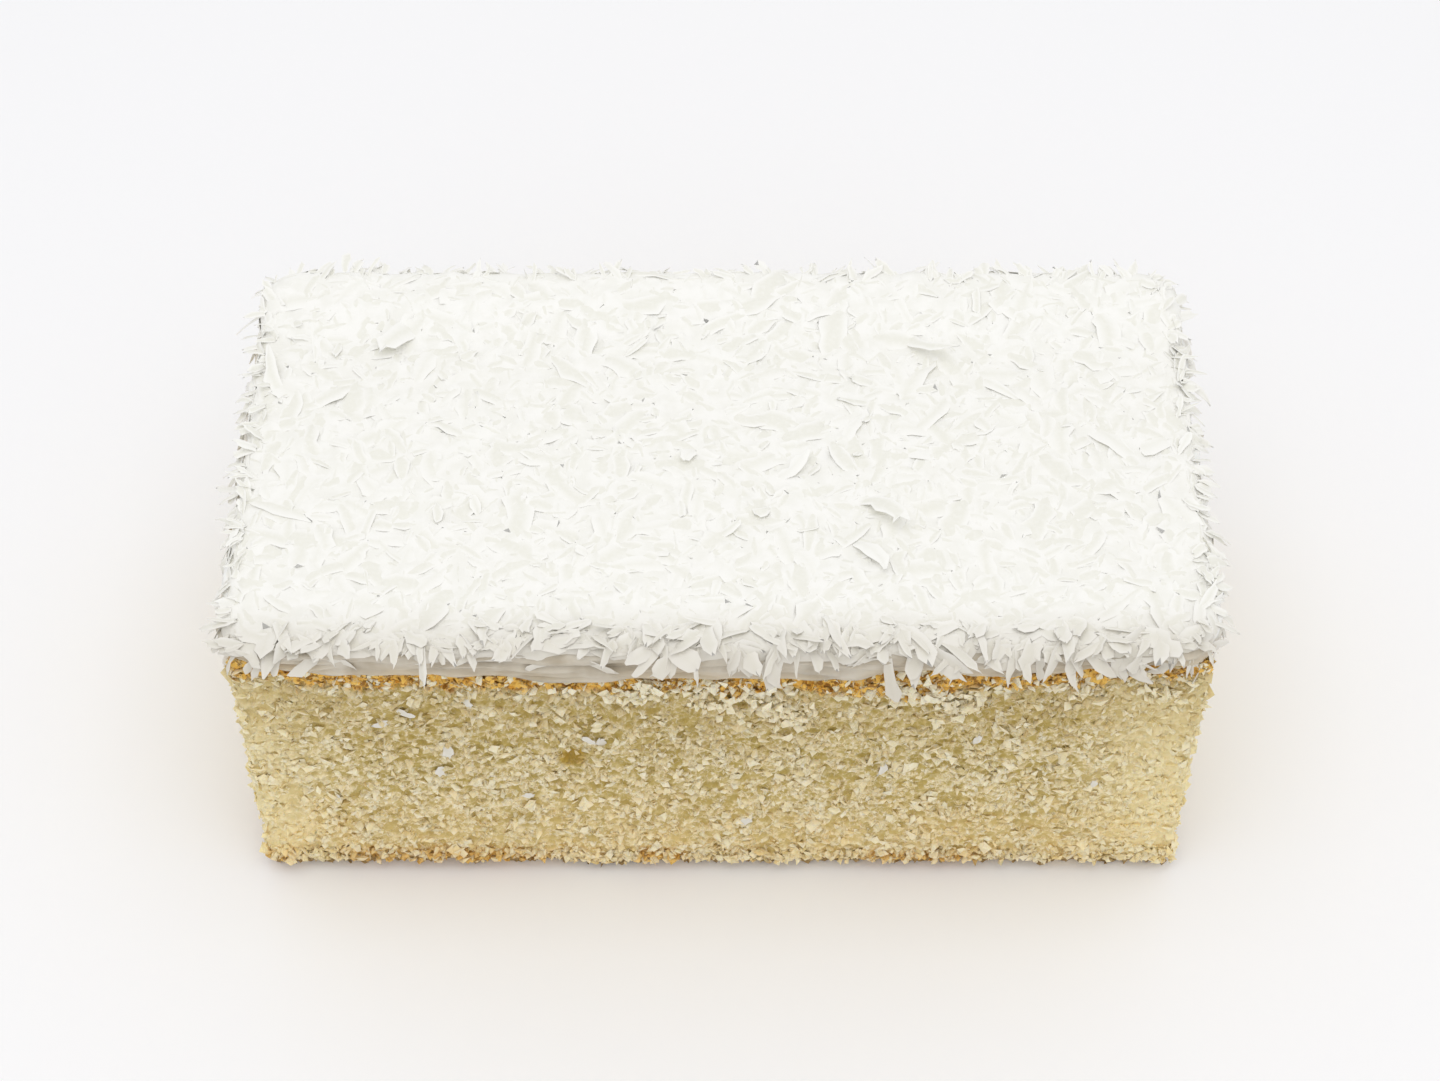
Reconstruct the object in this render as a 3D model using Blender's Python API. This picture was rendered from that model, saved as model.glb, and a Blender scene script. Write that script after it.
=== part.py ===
"""A slice of coconut cake, cut as a rectangular bar from a tray.

The sponge is a plain block with four knife-cut sides, browned along its top and bottom. White icing lies on
it as one layer, and shredded coconut covers the icing and hangs over its edge all round.

Metres, +Z up. The origin is under the middle of the cake, on the surface that it stands on, and the cut face
that the photograph shows looks along -Y.
"""

import math
import random

import bmesh
import bpy
from mathutils import Matrix, Vector, noise

# Driving dimensions: a 5 by 2 1/2 inch bar, 2 inches high with its coconut.
CAKE_WIDTH = 0.127
CAKE_DEPTH = 0.064
SPONGE_HEIGHT = 0.0448
ICING_THICKNESS = 0.0052
LAYER_GAP = 0.0003

# The sponge rose more at its left end and over its whole right half, and the icing is thinner there.
LEFT_RISE = 0.0030
LEFT_RISE_POWER = 3.0
RIGHT_RISE = 0.0032
RIGHT_RISE_POWER = 1.5

# Crumb of the cut sides: relief on a grid this fine, with a browned top edge that stands back a little.
CRUMB_GRID = 0.0044
CRUMB_RELIEF = 0.0007
CRUMB_LUMP = 0.0052
CRAG_WIDTH = 0.0023
CRAG_SHARE = 0.8
UNEVEN_ROWS = 0.3
CRUST_STEP_BACK = 0.0007
CRUST_HEIGHT = 0.0016
BOTTOM_EDGE_RAG = 0.0006

# Air holes that the knife opened. The largest is the one left of the middle of the front face.
LARGEST_HOLE = 0.0026
HOLE_WIDTH = (0.0015, 0.0021)
HOLE_STRETCH = (1.15, 1.15, 0.85)
LARGEST_HOLE_PLACE = Vector((-0.0205, -CAKE_DEPTH / 2, 0.0255))
HOLES_ON_LONG_SIDE = 7
HOLES_ON_SHORT_SIDE = 3
HOLE_MARGIN = 0.007
HOLE_DISTANCE = 0.0078

# Icing, with the coconut that is pressed into it: round corners and rim, and lumps as wide as the shreds.
ICING_OVERHANG = 0.0008
ICING_CORNER = 0.006
ICING_RIM = 0.002
ICING_BULGE = 0.0004
LUMP_HEIGHT = 0.0008
LUMP_WIDTH = 0.0075
ICING_CELL = 0.0042

# Coconut on the surface: strips shaved across the fibre, longest first. Lifts and sways are in degrees.
TOP_SHREDS = 192
RIM_SHREDS = 138
LONGEST_SHRED = 0.0110
SHORTEST_SHRED = 0.0045
SHRED_WIDTH = (0.0015, 0.0026)
SHRED_THICKNESS = 0.00045
SHRED_CURL = (0.02, 0.13)
SHRED_ROLL = 20
ROOT_WIDENING = 1.2
END_NARROWING = 0.5
SHRED_ROOT = 0.0005
LYING_LIFT = (4, 13)
STANDING_LIFT = (20, 40)
STANDING_EVERY = 6
RIM_LIFT = (5, 28)
RIM_SWAY = 55
RIM_ROOT = (0.0010, 0.0036)
SHRED_REACH = 0.0029
HIGHEST_SHRED = 0.0540
SPONGE_CLEARANCE = 0.0006
FITTINGS = 7
FITTING_STEP = 0.82
SEED = 31

# Multiples of these shares of one never bunch up, along a line or, taken two at a time, over a plane.
PLASTIC_NUMBER = 1.3247179572
EVEN_ACROSS = 1 / PLASTIC_NUMBER
EVEN_ALONG = 1 / PLASTIC_NUMBER ** 2
EVEN_ROOTS = (math.sqrt(5) - 1) / 2
EVEN_SIZES = PLASTIC_NUMBER - 1

# Colours, as linear values.
SPONGE_COLOUR = (0.68, 0.55, 0.27)
ICING_COLOUR = (0.86, 0.85, 0.80)


def clear_scene():
    for obj in list(bpy.data.objects):
        bpy.data.objects.remove(obj, do_unlink=True)


def new_collection(name, helper=False):
    collection = bpy.data.collections.new(name)
    collection.hide_render = helper
    bpy.context.scene.collection.children.link(collection)
    return collection


def new_material(name, colour, roughness):
    material = bpy.data.materials.new(name)
    material.use_nodes = True
    shader = material.node_tree.nodes["Principled BSDF"]
    shader.inputs["Base Color"].default_value = (*colour, 1.0)
    shader.inputs["Roughness"].default_value = roughness
    shader.inputs["Metallic"].default_value = 0.0
    material.diffuse_color = (*colour, 1.0)
    return material


def new_object(name, bm, collection, material=None):
    mesh = bpy.data.meshes.new(name)
    bm.to_mesh(mesh)
    bm.free()
    if material:
        mesh.materials.append(material)
    obj = bpy.data.objects.new(name, mesh)
    collection.objects.link(obj)
    return obj


def apply_modifiers(obj):
    """Makes what the modifiers show the object's own mesh."""
    graph = bpy.context.evaluated_depsgraph_get()
    shaped = bpy.data.meshes.new_from_object(obj.evaluated_get(graph))
    obj.modifiers.clear()
    obj.data = shaped


def block(size, cells):
    """A box from z 0 up, centred in X and Y, each face split into the given number of cells along X, Y and Z."""
    bm = bmesh.new()
    bmesh.ops.create_cube(bm, size=1.0)
    for axis, count in enumerate(cells):
        along = [e for e in bm.edges if abs((e.verts[0].co - e.verts[1].co)[axis]) > 0.5]
        bmesh.ops.subdivide_edges(bm, edges=along, cuts=count - 1, use_grid_fill=True)
    bmesh.ops.translate(bm, verts=bm.verts, vec=(0, 0, 0.5))
    bmesh.ops.scale(bm, verts=bm.verts, vec=size)
    return bm


def faces_at(bm, height):
    return [f for f in bm.faces if all(abs(v.co.z - height) < 1e-7 for v in f.verts)]


def one_flat_face(bm, height):
    """Joins the faces that lie at this height into a single one."""
    bmesh.ops.dissolve_faces(bm, faces=faces_at(bm, height))


def strips_across(bm, height, cell):
    """Joins the faces that lie at this height into strips across the bar, each one cell wide."""
    strips = {}
    for face in faces_at(bm, height):
        strips.setdefault(math.floor(face.calc_center_median().x / cell * 2), []).append(face)
    for strip in strips.values():
        bmesh.ops.dissolve_faces(bm, faces=strip, use_verts=True)


def top_rise(x):
    """How far the sponge's top lies above its lowest place, at a place along the bar."""
    share = min(1.0, abs(x) / (CAKE_WIDTH / 2))
    return RIGHT_RISE * share ** RIGHT_RISE_POWER if x > 0 else LEFT_RISE * share ** LEFT_RISE_POWER


def side_direction(point, half_width, half_depth):
    """The horizontal way out of the block at a point of its sides, and along the diagonal at its corners."""
    out = Vector((0, 0, 0))
    if abs(abs(point.x) - half_width) < 1e-7:
        out.x = math.copysign(1, point.x)
    if abs(abs(point.y) - half_depth) < 1e-7:
        out.y = math.copysign(1, point.y)
    return out.normalized()


def crumb_relief(point):
    """How far the crumb stands out of the knife's cut at a point: lumps, with finer crags on them."""
    lumps = noise.noise(point / CRUMB_LUMP)
    crags = noise.noise(point / CRAG_WIDTH + Vector((7, 3, 1)))
    return CRUMB_RELIEF * (lumps + CRAG_SHARE * crags)


def crumb_holes(collection):
    """Round cutters for the air holes, spread over the four sides by an even rule."""
    draw = random.Random(SEED)
    half_width, half_depth = CAKE_WIDTH / 2, CAKE_DEPTH / 2
    places = [(LARGEST_HOLE_PLACE, LARGEST_HOLE)]
    sides = [
        (HOLES_ON_LONG_SIDE, half_width, lambda s, z: Vector((s, -half_depth, z))),
        (HOLES_ON_LONG_SIDE, half_width, lambda s, z: Vector((s, half_depth, z))),
        (HOLES_ON_SHORT_SIDE, half_depth, lambda s, z: Vector((-half_width, s, z))),
        (HOLES_ON_SHORT_SIDE, half_depth, lambda s, z: Vector((half_width, s, z))),
    ]
    for count, reach, place in sides:
        for index in range(count):
            along = (2 * (index + draw.uniform(0.3, 0.7)) / count - 1) * (reach - HOLE_MARGIN)
            height = draw.uniform(HOLE_MARGIN, SPONGE_HEIGHT - HOLE_MARGIN)
            spot = place(along, height)
            if (spot - LARGEST_HOLE_PLACE).length > HOLE_DISTANCE:
                places.append((spot, draw.uniform(*HOLE_WIDTH)))
    for number, (spot, width) in enumerate(places):
        bm = bmesh.new()
        bmesh.ops.create_icosphere(bm, subdivisions=1, radius=width / 2)
        bmesh.ops.rotate(bm, verts=bm.verts, matrix=Matrix.Rotation(draw.uniform(0, math.pi), 3, spot))
        bmesh.ops.scale(bm, verts=bm.verts, vec=HOLE_STRETCH)
        cutter = new_object(f"hole_{number}", bm, collection)
        cutter.location = spot
        cutter.display_type = "WIRE"
        cutter.hide_render = True


def make_sponge(collection):
    """The block of crumb: flat underneath, gently curved on top, with rough cut sides and opened air holes."""
    size = Vector((CAKE_WIDTH, CAKE_DEPTH, SPONGE_HEIGHT))
    bm = block(size, [round(side / CRUMB_GRID) for side in size])
    one_flat_face(bm, 0)
    strips_across(bm, SPONGE_HEIGHT, CAKE_WIDTH / round(CAKE_WIDTH / CRUMB_GRID))
    for vert in bm.verts:
        point = vert.co.copy()
        out = side_direction(point, CAKE_WIDTH / 2, CAKE_DEPTH / 2)
        push = crumb_relief(point)
        crust = max(0.0, (point.z - SPONGE_HEIGHT + CRUST_HEIGHT) / CRUST_HEIGHT)
        push -= CRUST_STEP_BACK * crust
        if point.z < 1e-7:
            push += BOTTOM_EDGE_RAG * noise.noise(point / CRUMB_GRID)
        vert.co += out * push
        if 1e-7 < point.z < SPONGE_HEIGHT - 1e-7:
            vert.co.z += UNEVEN_ROWS * crumb_relief(point + Vector((1, 1, 1)))
        vert.co.z += top_rise(point.x) * point.z / SPONGE_HEIGHT
    sponge = new_object("sponge", bm, collection, new_material("sponge_crumb", SPONGE_COLOUR, 0.85))

    cutters = new_collection("air_holes", helper=True)
    crumb_holes(cutters)
    cut = sponge.modifiers.new("Open the air holes", "BOOLEAN")
    cut.operation = "DIFFERENCE"
    cut.operand_type = "COLLECTION"
    cut.collection = cutters
    return sponge


def round_plan(point, half_width, half_depth, corner):
    """Moves a point of a rectangle's plan so that the rectangle's corners become round."""
    inner = Vector((
        max(-half_width + corner, min(half_width - corner, point.x)),
        max(-half_depth + corner, min(half_depth - corner, point.y)),
        point.z,
    ))
    beyond = point - inner
    if beyond.length < 1e-9:
        return point
    return inner + beyond * (max(abs(beyond.x), abs(beyond.y)) / beyond.length)


def lump(point):
    """How far the icing with the coconut in it stands up at a point."""
    broad = noise.noise(point / LUMP_WIDTH)
    narrow = noise.noise(point / (LUMP_WIDTH / 2) + Vector((3, 9, 4)))
    return LUMP_HEIGHT * (broad + narrow)


def make_icing(collection, material):
    """The icing without its strips: lying on the sponge's curve, lumpy on top, bulging a little at its edge."""
    half_width = CAKE_WIDTH / 2 + ICING_OVERHANG
    half_depth = CAKE_DEPTH / 2 + ICING_OVERHANG
    size = Vector((2 * half_width, 2 * half_depth, ICING_THICKNESS))
    cells = [max(2, round(side / ICING_CELL)) for side in size]
    bm = block(size, cells)
    strips_across(bm, 0, size.x / cells[0])
    for vert in bm.verts:
        point = vert.co.copy()
        out = side_direction(point, half_width, half_depth)
        share = point.z / ICING_THICKNESS
        vert.co = round_plan(point, half_width, half_depth, ICING_CORNER)
        height = lump(vert.co)
        vert.co.z += top_rise(vert.co.x) * (1 - share)
        vert.co += out * (ICING_BULGE * math.sin(math.pi * share) + height)
        if share > 0.99:
            vert.co += Vector((0, 0, height)) - (out + Vector((0, 0, out.length))) * ICING_RIM / 2
    bmesh.ops.translate(bm, verts=bm.verts, vec=(0, 0, SPONGE_HEIGHT + LAYER_GAP))
    return new_object("coconut_icing", bm, collection, material)


def icing_skin(across, along):
    """The point and outward direction of the icing's surface at a place of a sheet laid over it.

    Inside the rim the sheet lies flat, then it bends round the rim, and past that it hangs down the edge.
    """
    top = SPONGE_HEIGHT + LAYER_GAP + ICING_THICKNESS
    half_width = CAKE_WIDTH / 2 + ICING_OVERHANG
    half_depth = CAKE_DEPTH / 2 + ICING_OVERHANG
    inner = Vector((
        max(-half_width + ICING_CORNER, min(half_width - ICING_CORNER, across)),
        max(-half_depth + ICING_CORNER, min(half_depth - ICING_CORNER, along)),
        top,
    ))
    beyond = Vector((across, along, top)) - inner
    flat = ICING_CORNER - ICING_RIM
    if beyond.length <= flat:
        height = lump(Vector((across, along, ICING_THICKNESS)))
        return Vector((across, along, top + height)), Vector((0, 0, 1))
    way = beyond.normalized()
    turn = min(math.pi / 2, (beyond.length - flat) / ICING_RIM)
    hang = max(0.0, beyond.length - flat - ICING_RIM * math.pi / 2)
    out = way * math.sin(turn) + Vector((0, 0, math.cos(turn)))
    point = inner + way * (flat + ICING_RIM * math.sin(turn))
    point.z -= ICING_RIM * (1 - math.cos(turn)) + hang
    return point, out


def shred_mesh(length, width, curl):
    """A strip along X, pointed at its root at 0, arched by its curl, and torn aslant to an edge at its end."""
    bm = bmesh.new()
    bmesh.ops.create_cube(bm, size=1.0)
    lengthwise = [e for e in bm.edges if abs((e.verts[0].co - e.verts[1].co).x) > 0.5]
    bmesh.ops.subdivide_edges(bm, edges=lengthwise, cuts=1)
    bmesh.ops.translate(bm, verts=bm.verts, vec=(0.5, 0, 0))
    bmesh.ops.scale(bm, verts=bm.verts, vec=(length, width, SHRED_THICKNESS))
    ends = [v for v in bm.verts if v.co.x > 0.9 * length]
    groups = (
        [v for v in bm.verts if v.co.x < 0.1 * length],
        [v for v in ends if v.co.y > 0],
        [v for v in ends if v.co.y < 0],
    )
    for group in groups:
        centre = sum((v.co for v in group), Vector()) / len(group)
        bmesh.ops.pointmerge(bm, verts=group, merge_co=centre)
    for vert in bm.verts:
        share = vert.co.x / length
        vert.co.z += curl * length * 4 * share * (1 - share)
        vert.co.y *= ROOT_WIDENING - END_NARROWING * share
        vert.co.x += max(0.0, 2 * share - 1) * vert.co.y
    return bm


def has_room(obj):
    """True if the strip stays above the sponge or outside its cut sides, and doesn't stick out too far."""
    for vert in obj.data.vertices:
        point = obj.matrix_world @ vert.co
        outside = max(abs(point.x) - CAKE_WIDTH / 2, abs(point.y) - CAKE_DEPTH / 2)
        if outside > SHRED_REACH or point.z > HIGHEST_SHRED:
            return False
        if point.z < SPONGE_HEIGHT + top_rise(point.x) + 2 * LAYER_GAP and outside < SPONGE_CLEARANCE:
            return False
    return True


def place_shred(name, collection, draw, spot, heading, lift, size_share):
    """One strip rooted in the icing at a spot of its skin, heading along the skin and lifting off it.

    A strip that has no room is made shorter and laid flatter a few times, and is then left out.
    """
    point, out = spot
    length = SHORTEST_SHRED + (LONGEST_SHRED - SHORTEST_SHRED) * size_share * draw.uniform(0.8, 1.0)
    width = draw.uniform(*SHRED_WIDTH)
    curl = draw.uniform(*SHRED_CURL)
    roll = Matrix.Rotation(draw.gauss(0, math.radians(SHRED_ROLL)), 4, "X")
    for fitting in range(FITTINGS):
        along = (heading * math.cos(lift) + out * math.sin(lift)).normalized()
        side = out.cross(along).normalized()
        turned = Matrix((along, side, along.cross(side))).transposed().to_4x4()
        shred = new_object(name, shred_mesh(length, width, curl), collection)
        shred.matrix_world = Matrix.Translation(point - out * SHRED_ROOT) @ turned @ roll
        if has_room(shred):
            return
        bpy.data.objects.remove(shred)
        length *= FITTING_STEP
        lift *= FITTING_STEP


def even_share(index, step):
    """A share from 0 to 1 for each number, spread evenly however many there are."""
    return (0.5 + index * step) % 1.0


def rim_place(run, width, depth):
    """The place that lies a given run round a rectangle's edge, and the way out of it there."""
    for side, half, way in (
        (width, depth / 2, Vector((0, -1, 0))),
        (depth, width / 2, Vector((1, 0, 0))),
        (width, depth / 2, Vector((0, 1, 0))),
        (depth, width / 2, Vector((-1, 0, 0))),
    ):
        if run <= side:
            on_edge = way * half + Vector((-way.y, way.x, 0)) * (run - side / 2)
            return on_edge.x, on_edge.y, way
        run -= side
    return 0.0, -depth / 2, Vector((0, -1, 0))


def scatter_coconut(collection):
    """Strips over the whole top, largest first, and then a fringe of them that hangs from the rim."""
    draw = random.Random(SEED)
    width, depth = CAKE_WIDTH - ICING_RIM, CAKE_DEPTH - ICING_RIM
    for index in range(TOP_SHREDS):
        across = width * (even_share(index, EVEN_ACROSS) - 0.5)
        along = depth * (even_share(index, EVEN_ALONG) - 0.5)
        angle = draw.uniform(0, 2 * math.pi)
        heading = Vector((math.cos(angle), math.sin(angle), 0))
        lift = math.radians(draw.uniform(*(LYING_LIFT if index % STANDING_EVERY else STANDING_LIFT)))
        place_shred(f"top_shred_{index}", collection, draw, icing_skin(across, along), heading, lift,
                    1 - index / TOP_SHREDS)

    perimeter = 2 * (width + depth)
    for index in range(RIM_SHREDS):
        run = perimeter * (index + draw.uniform(0.2, 0.8)) / RIM_SHREDS
        x, y, way = rim_place(run, width, depth)
        icing_share = 1 - top_rise(x) / ICING_THICKNESS
        down = RIM_ROOT[0] + (RIM_ROOT[1] - RIM_ROOT[0]) * even_share(index, EVEN_ROOTS) * icing_share
        point, _ = icing_skin(x + way.x * down, y + way.y * down)
        sway = Matrix.Rotation(math.radians(draw.uniform(-RIM_SWAY, RIM_SWAY)), 3, way)
        lift = math.radians(draw.uniform(*RIM_LIFT))
        place_shred(f"rim_shred_{index}", collection, draw, (point, way), sway @ Vector((0, 0, -1)), lift,
                    0.5 * even_share(index, EVEN_SIZES))


def keep_largest_shell(obj):
    """Fills the hollows that fusing sealed and drops loose scraps, by keeping the outer surface alone."""
    bm = bmesh.new()
    bm.from_mesh(obj.data)
    left = set(bm.verts)
    shells = []
    while left:
        shell, edge = set(), [left.pop()]
        while edge:
            vert = edge.pop()
            shell.add(vert)
            for link in vert.link_edges:
                other = link.other_vert(vert)
                if other in left:
                    left.remove(other)
                    edge.append(other)
        shells.append(shell)
    largest = max(shells, key=len)
    bmesh.ops.delete(bm, geom=[v for v in bm.verts if v not in largest], context="VERTS")
    bm.to_mesh(obj.data)
    bm.free()


def fuse(icing, shreds):
    """Joins every strip to the icing as one solid."""
    union = icing.modifiers.new("Fuse the coconut", "BOOLEAN")
    union.operation = "UNION"
    union.operand_type = "COLLECTION"
    union.collection = shreds
    union.solver = "MANIFOLD"
    apply_modifiers(icing)
    for shred in list(shreds.objects):
        bpy.data.objects.remove(shred, do_unlink=True)
    bpy.data.collections.remove(shreds)
    keep_largest_shell(icing)


def centre_on_outline(objects, outline):
    """Moves the pieces so that the middle of the outline's plan lies over the origin."""
    bpy.context.view_layer.update()
    points = [obj.matrix_world @ vert.co for obj in outline for vert in obj.data.vertices]
    lowest = Vector([min(p[axis] for p in points) for axis in range(3)])
    highest = Vector([max(p[axis] for p in points) for axis in range(3)])
    middle = (lowest + highest) / 2
    middle.z = 0
    for obj in objects:
        obj.location -= middle


def main():
    clear_scene()
    cake = new_collection("coconut_cake")
    coconut = new_collection("coconut", helper=True)

    sponge = make_sponge(cake)
    icing = make_icing(cake, new_material("icing_and_coconut", ICING_COLOUR, 0.5))
    scatter_coconut(coconut)
    fuse(icing, coconut)

    cutters = list(bpy.data.collections["air_holes"].objects)
    centre_on_outline([sponge, icing, *cutters], [sponge, icing])


main()
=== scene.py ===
"""Coconut cake: a bar of white sponge cut from a tray, with icing and shredded coconut on top."""

import math

import bpy
import numpy as np
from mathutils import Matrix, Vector, noise


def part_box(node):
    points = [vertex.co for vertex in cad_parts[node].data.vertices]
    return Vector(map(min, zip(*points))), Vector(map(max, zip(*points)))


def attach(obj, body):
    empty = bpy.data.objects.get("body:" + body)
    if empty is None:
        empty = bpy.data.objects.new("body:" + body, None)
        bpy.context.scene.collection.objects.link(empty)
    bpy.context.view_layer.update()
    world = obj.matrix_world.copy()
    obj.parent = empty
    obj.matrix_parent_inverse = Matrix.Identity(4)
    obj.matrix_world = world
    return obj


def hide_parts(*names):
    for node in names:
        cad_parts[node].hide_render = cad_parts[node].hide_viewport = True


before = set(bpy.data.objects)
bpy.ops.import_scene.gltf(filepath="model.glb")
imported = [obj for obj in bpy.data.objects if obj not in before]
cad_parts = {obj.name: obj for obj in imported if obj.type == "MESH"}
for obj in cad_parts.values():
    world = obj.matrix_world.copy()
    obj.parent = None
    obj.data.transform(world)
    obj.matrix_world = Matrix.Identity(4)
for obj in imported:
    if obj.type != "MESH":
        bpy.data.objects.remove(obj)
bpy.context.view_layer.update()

MM = 0.001

# THE TABLE TOP, THE LIGHT AND THE VIEW
# The cake stands on a plain white table top. Daylight comes softly from all round and from a wide white
# screen overhead and a little in front, and the cake is seen from in front and from well above.
VIEW_DOWN = math.radians(50)
VIEW_DISTANCE = 402.6 * MM
VIEW_RISE = 4.8 * MM
VIEW_HEIGHT = 26 * MM
LENS = 71.25
FILM_WIDTH = 36.0
TABLE_SIZE = 6.0
TABLE_TONE = (0.965, 0.975)
TABLE_COOLNESS = 0.018
SCREEN_SIZE = 0.50
SCREEN_HEIGHT = 0.60
SCREEN_FORWARD = 0.12
SCREEN_POWER = 0.82
SCREEN_WHITE = (1.0, 0.995, 0.985)
SKY_STRENGTH = 0.825

scene = bpy.context.scene
scene.view_settings.view_transform = "Standard"

camera = bpy.data.objects.new("camera", bpy.data.cameras.new("camera"))
camera.data.lens = LENS
camera.data.sensor_width = FILM_WIDTH
camera.rotation_euler = (math.pi / 2 - VIEW_DOWN, 0, 0)
view_way = Vector((0, math.cos(VIEW_DOWN), -math.sin(VIEW_DOWN)))
view_up = Vector((0, math.sin(VIEW_DOWN), math.cos(VIEW_DOWN)))
camera.location = Vector((0, 0, VIEW_HEIGHT)) - view_way * VIEW_DISTANCE + view_up * VIEW_RISE
scene.collection.objects.link(camera)
scene.camera = camera

screen = bpy.data.objects.new("screen", bpy.data.lights.new("screen", "AREA"))
screen.data.size = SCREEN_SIZE
screen.data.energy = SCREEN_POWER
screen.data.color = SCREEN_WHITE
screen.location = (0, -SCREEN_FORWARD, SCREEN_HEIGHT)
screen.rotation_euler = (math.atan(SCREEN_FORWARD / SCREEN_HEIGHT), 0, 0)
scene.collection.objects.link(screen)

sky = bpy.data.worlds.new("sky")
sky.use_nodes = True
sky.node_tree.nodes["Background"].inputs["Color"].default_value = (1.0, 1.0, 1.0, 1.0)
sky.node_tree.nodes["Background"].inputs["Strength"].default_value = SKY_STRENGTH
scene.world = sky


def add_node(tree, kind, inputs=None, **settings):
    """A shader node whose inputs take a value or another node's socket."""
    made = tree.nodes.new(kind)
    for name, value in settings.items():
        setattr(made, name, value)
    for name, value in (inputs or {}).items():
        if isinstance(value, bpy.types.NodeSocket):
            tree.links.new(value, made.inputs[name])
        else:
            made.inputs[name].default_value = value
    return made


def new_material(name, roughness, shine):
    """A material, its node tree and its shader."""
    material = bpy.data.materials.new(name)
    material.use_nodes = True
    shader = material.node_tree.nodes["Principled BSDF"]
    shader.inputs["Roughness"].default_value = roughness
    shader.inputs["Specular IOR Level"].default_value = shine
    return material, material.node_tree, shader


def add_piece(name, points, faces, material):
    """A smooth-shaded mesh object."""
    mesh = bpy.data.meshes.new(name)
    mesh.from_pydata(points, [], faces)
    mesh.materials.append(material)
    mesh.shade_smooth()
    piece = bpy.data.objects.new(name, mesh)
    scene.collection.objects.link(piece)
    return piece


table_white, tree, shader = new_material("table_white", 0.6, 0.2)
grain = add_node(tree, "ShaderNodeTexNoise", {"Scale": 6.0, "Detail": 2.0}).outputs["Fac"]
tone = add_node(tree, "ShaderNodeMapRange",
                {"Value": grain, "To Min": TABLE_TONE[0], "To Max": TABLE_TONE[1]}).outputs[0]
cool = add_node(tree, "ShaderNodeMath", {0: tone, 1: TABLE_COOLNESS}, operation="ADD").outputs[0]
white = add_node(tree, "ShaderNodeCombineColor", {"Red": tone, "Green": tone, "Blue": cool})
tree.links.new(white.outputs["Color"], shader.inputs["Base Color"])
half = TABLE_SIZE / 2
corners = [(-half, -half, 0), (half, -half, 0), (half, half, 0), (-half, half, 0)]
table = add_piece("table", corners, [(0, 1, 2, 3)], table_white)

# THE SPONGE
# A block of white sponge: flour, egg and butter baked in a tray and browned at its top and bottom. The
# knife tore its fine bubbles open, so its sides are all little bowls with thin ragged walls between them.
CUT_RELIEF = 0.65 * MM
SPONGE_CORNER = 1.1 * MM
LEFT_RISE = 3.0 * MM
RIGHT_RISE = 3.2 * MM
TOP_WAVE = 0.5 * MM
TOP_WAVE_LENGTH = 29 * MM
TOP_WAVE_CREST = 24 * MM
FRONT_CELL = 0.25 * MM
SIDE_CELL = (0.42 * MM, 0.36 * MM)
BUBBLES = 95000
BUBBLE_RADIUS = (0.24 * MM, 0.72 * MM)
BUBBLE_FLATNESS = 1.2
BUBBLE_CHART = 0.12 * MM
BUBBLE_DEPTH = (0.4, 1.1)
WALL_WANDER = 0.22 * MM
WANDER_SIZE = 0.6 * MM
BUBBLE_WALL = 0.20 * MM
HOLLOW_DEPTH = 0.42 * MM
LUMP_SIZE = 6.5 * MM
LUMP_HEIGHT = 0.28 * MM
CRAG_SIZE = 2.0 * MM
CRAG_HEIGHT = 0.18 * MM
BURR_SIZE = 0.45 * MM
BURR_HEIGHT = 0.34 * MM
BURR_LIFT = 0.15 * MM
TOP_CRUST = 2.4 * MM
TOP_CRUST_STEP = 0.3 * MM
CRUST_BURRS = 0.35 * MM
CRUST_CRAGS = 0.3 * MM
TORN_FOOT = 1.2 * MM
FOOT_HEIGHT = 2.7 * MM
FOOT_UNDERCUT = 3.2 * MM
FOOT_CRAGS = 0.2 * MM
BASE_THICKNESS = 0.8 * MM
BASE_SHARE = 0.35
LARGE_HOLE = (-19.8 * MM, 26.3 * MM)
LARGE_HOLE_SIZE = (1.2 * MM, 1.85 * MM, 1.7 * MM)
SKIRT = 5 * MM
CUT_OVERLAP = (1.5 * MM, 0.5 * MM)

sponge_low, sponge_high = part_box("sponge")
SPONGE_TOP = sponge_high.z - RIGHT_RISE
SPONGE_MIDDLE = (sponge_low + sponge_high) / 2
SPONGE_X = (sponge_high.x - sponge_low.x) / 2 - CUT_RELIEF
SPONGE_Y = (sponge_high.y - sponge_low.y) / 2 - CUT_RELIEF
ARC_STEPS = 8


class Outline:
    """A rounded rectangle seen from above, read off by the run along it from its front right corner."""

    def __init__(self, half_x, half_y, corner):
        turn = np.radians([90 * side + 90 * step / ARC_STEPS for side in range(-1, 3)
                           for step in range(ARC_STEPS + 1)])
        hub_x = np.repeat([1, 1, -1, -1], ARC_STEPS + 1) * (half_x - corner)
        hub_y = np.repeat([-1, 1, 1, -1], ARC_STEPS + 1) * (half_y - corner)
        table = np.column_stack([hub_x + corner * np.cos(turn), hub_y + corner * np.sin(turn),
                                 np.cos(turn), np.sin(turn)])
        self.table = np.vstack([table, table[:1]])
        steps = np.hypot(np.diff(self.table[:, 0]), np.diff(self.table[:, 1]))
        self.runs = np.concatenate([[0], np.cumsum(steps)])
        self.around = self.runs[-1]
        self.front_start = self.runs[-2]

    def read(self, run):
        """X and Y of the places, and X and Y of the ways out of the rectangle there."""
        x, y, way_x, way_y = (np.interp(run % self.around, self.runs, column) for column in self.table.T)
        size = np.hypot(way_x, way_y)
        return x + SPONGE_MIDDLE.x, y + SPONGE_MIDDLE.y, way_x / size, way_y / size


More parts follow.
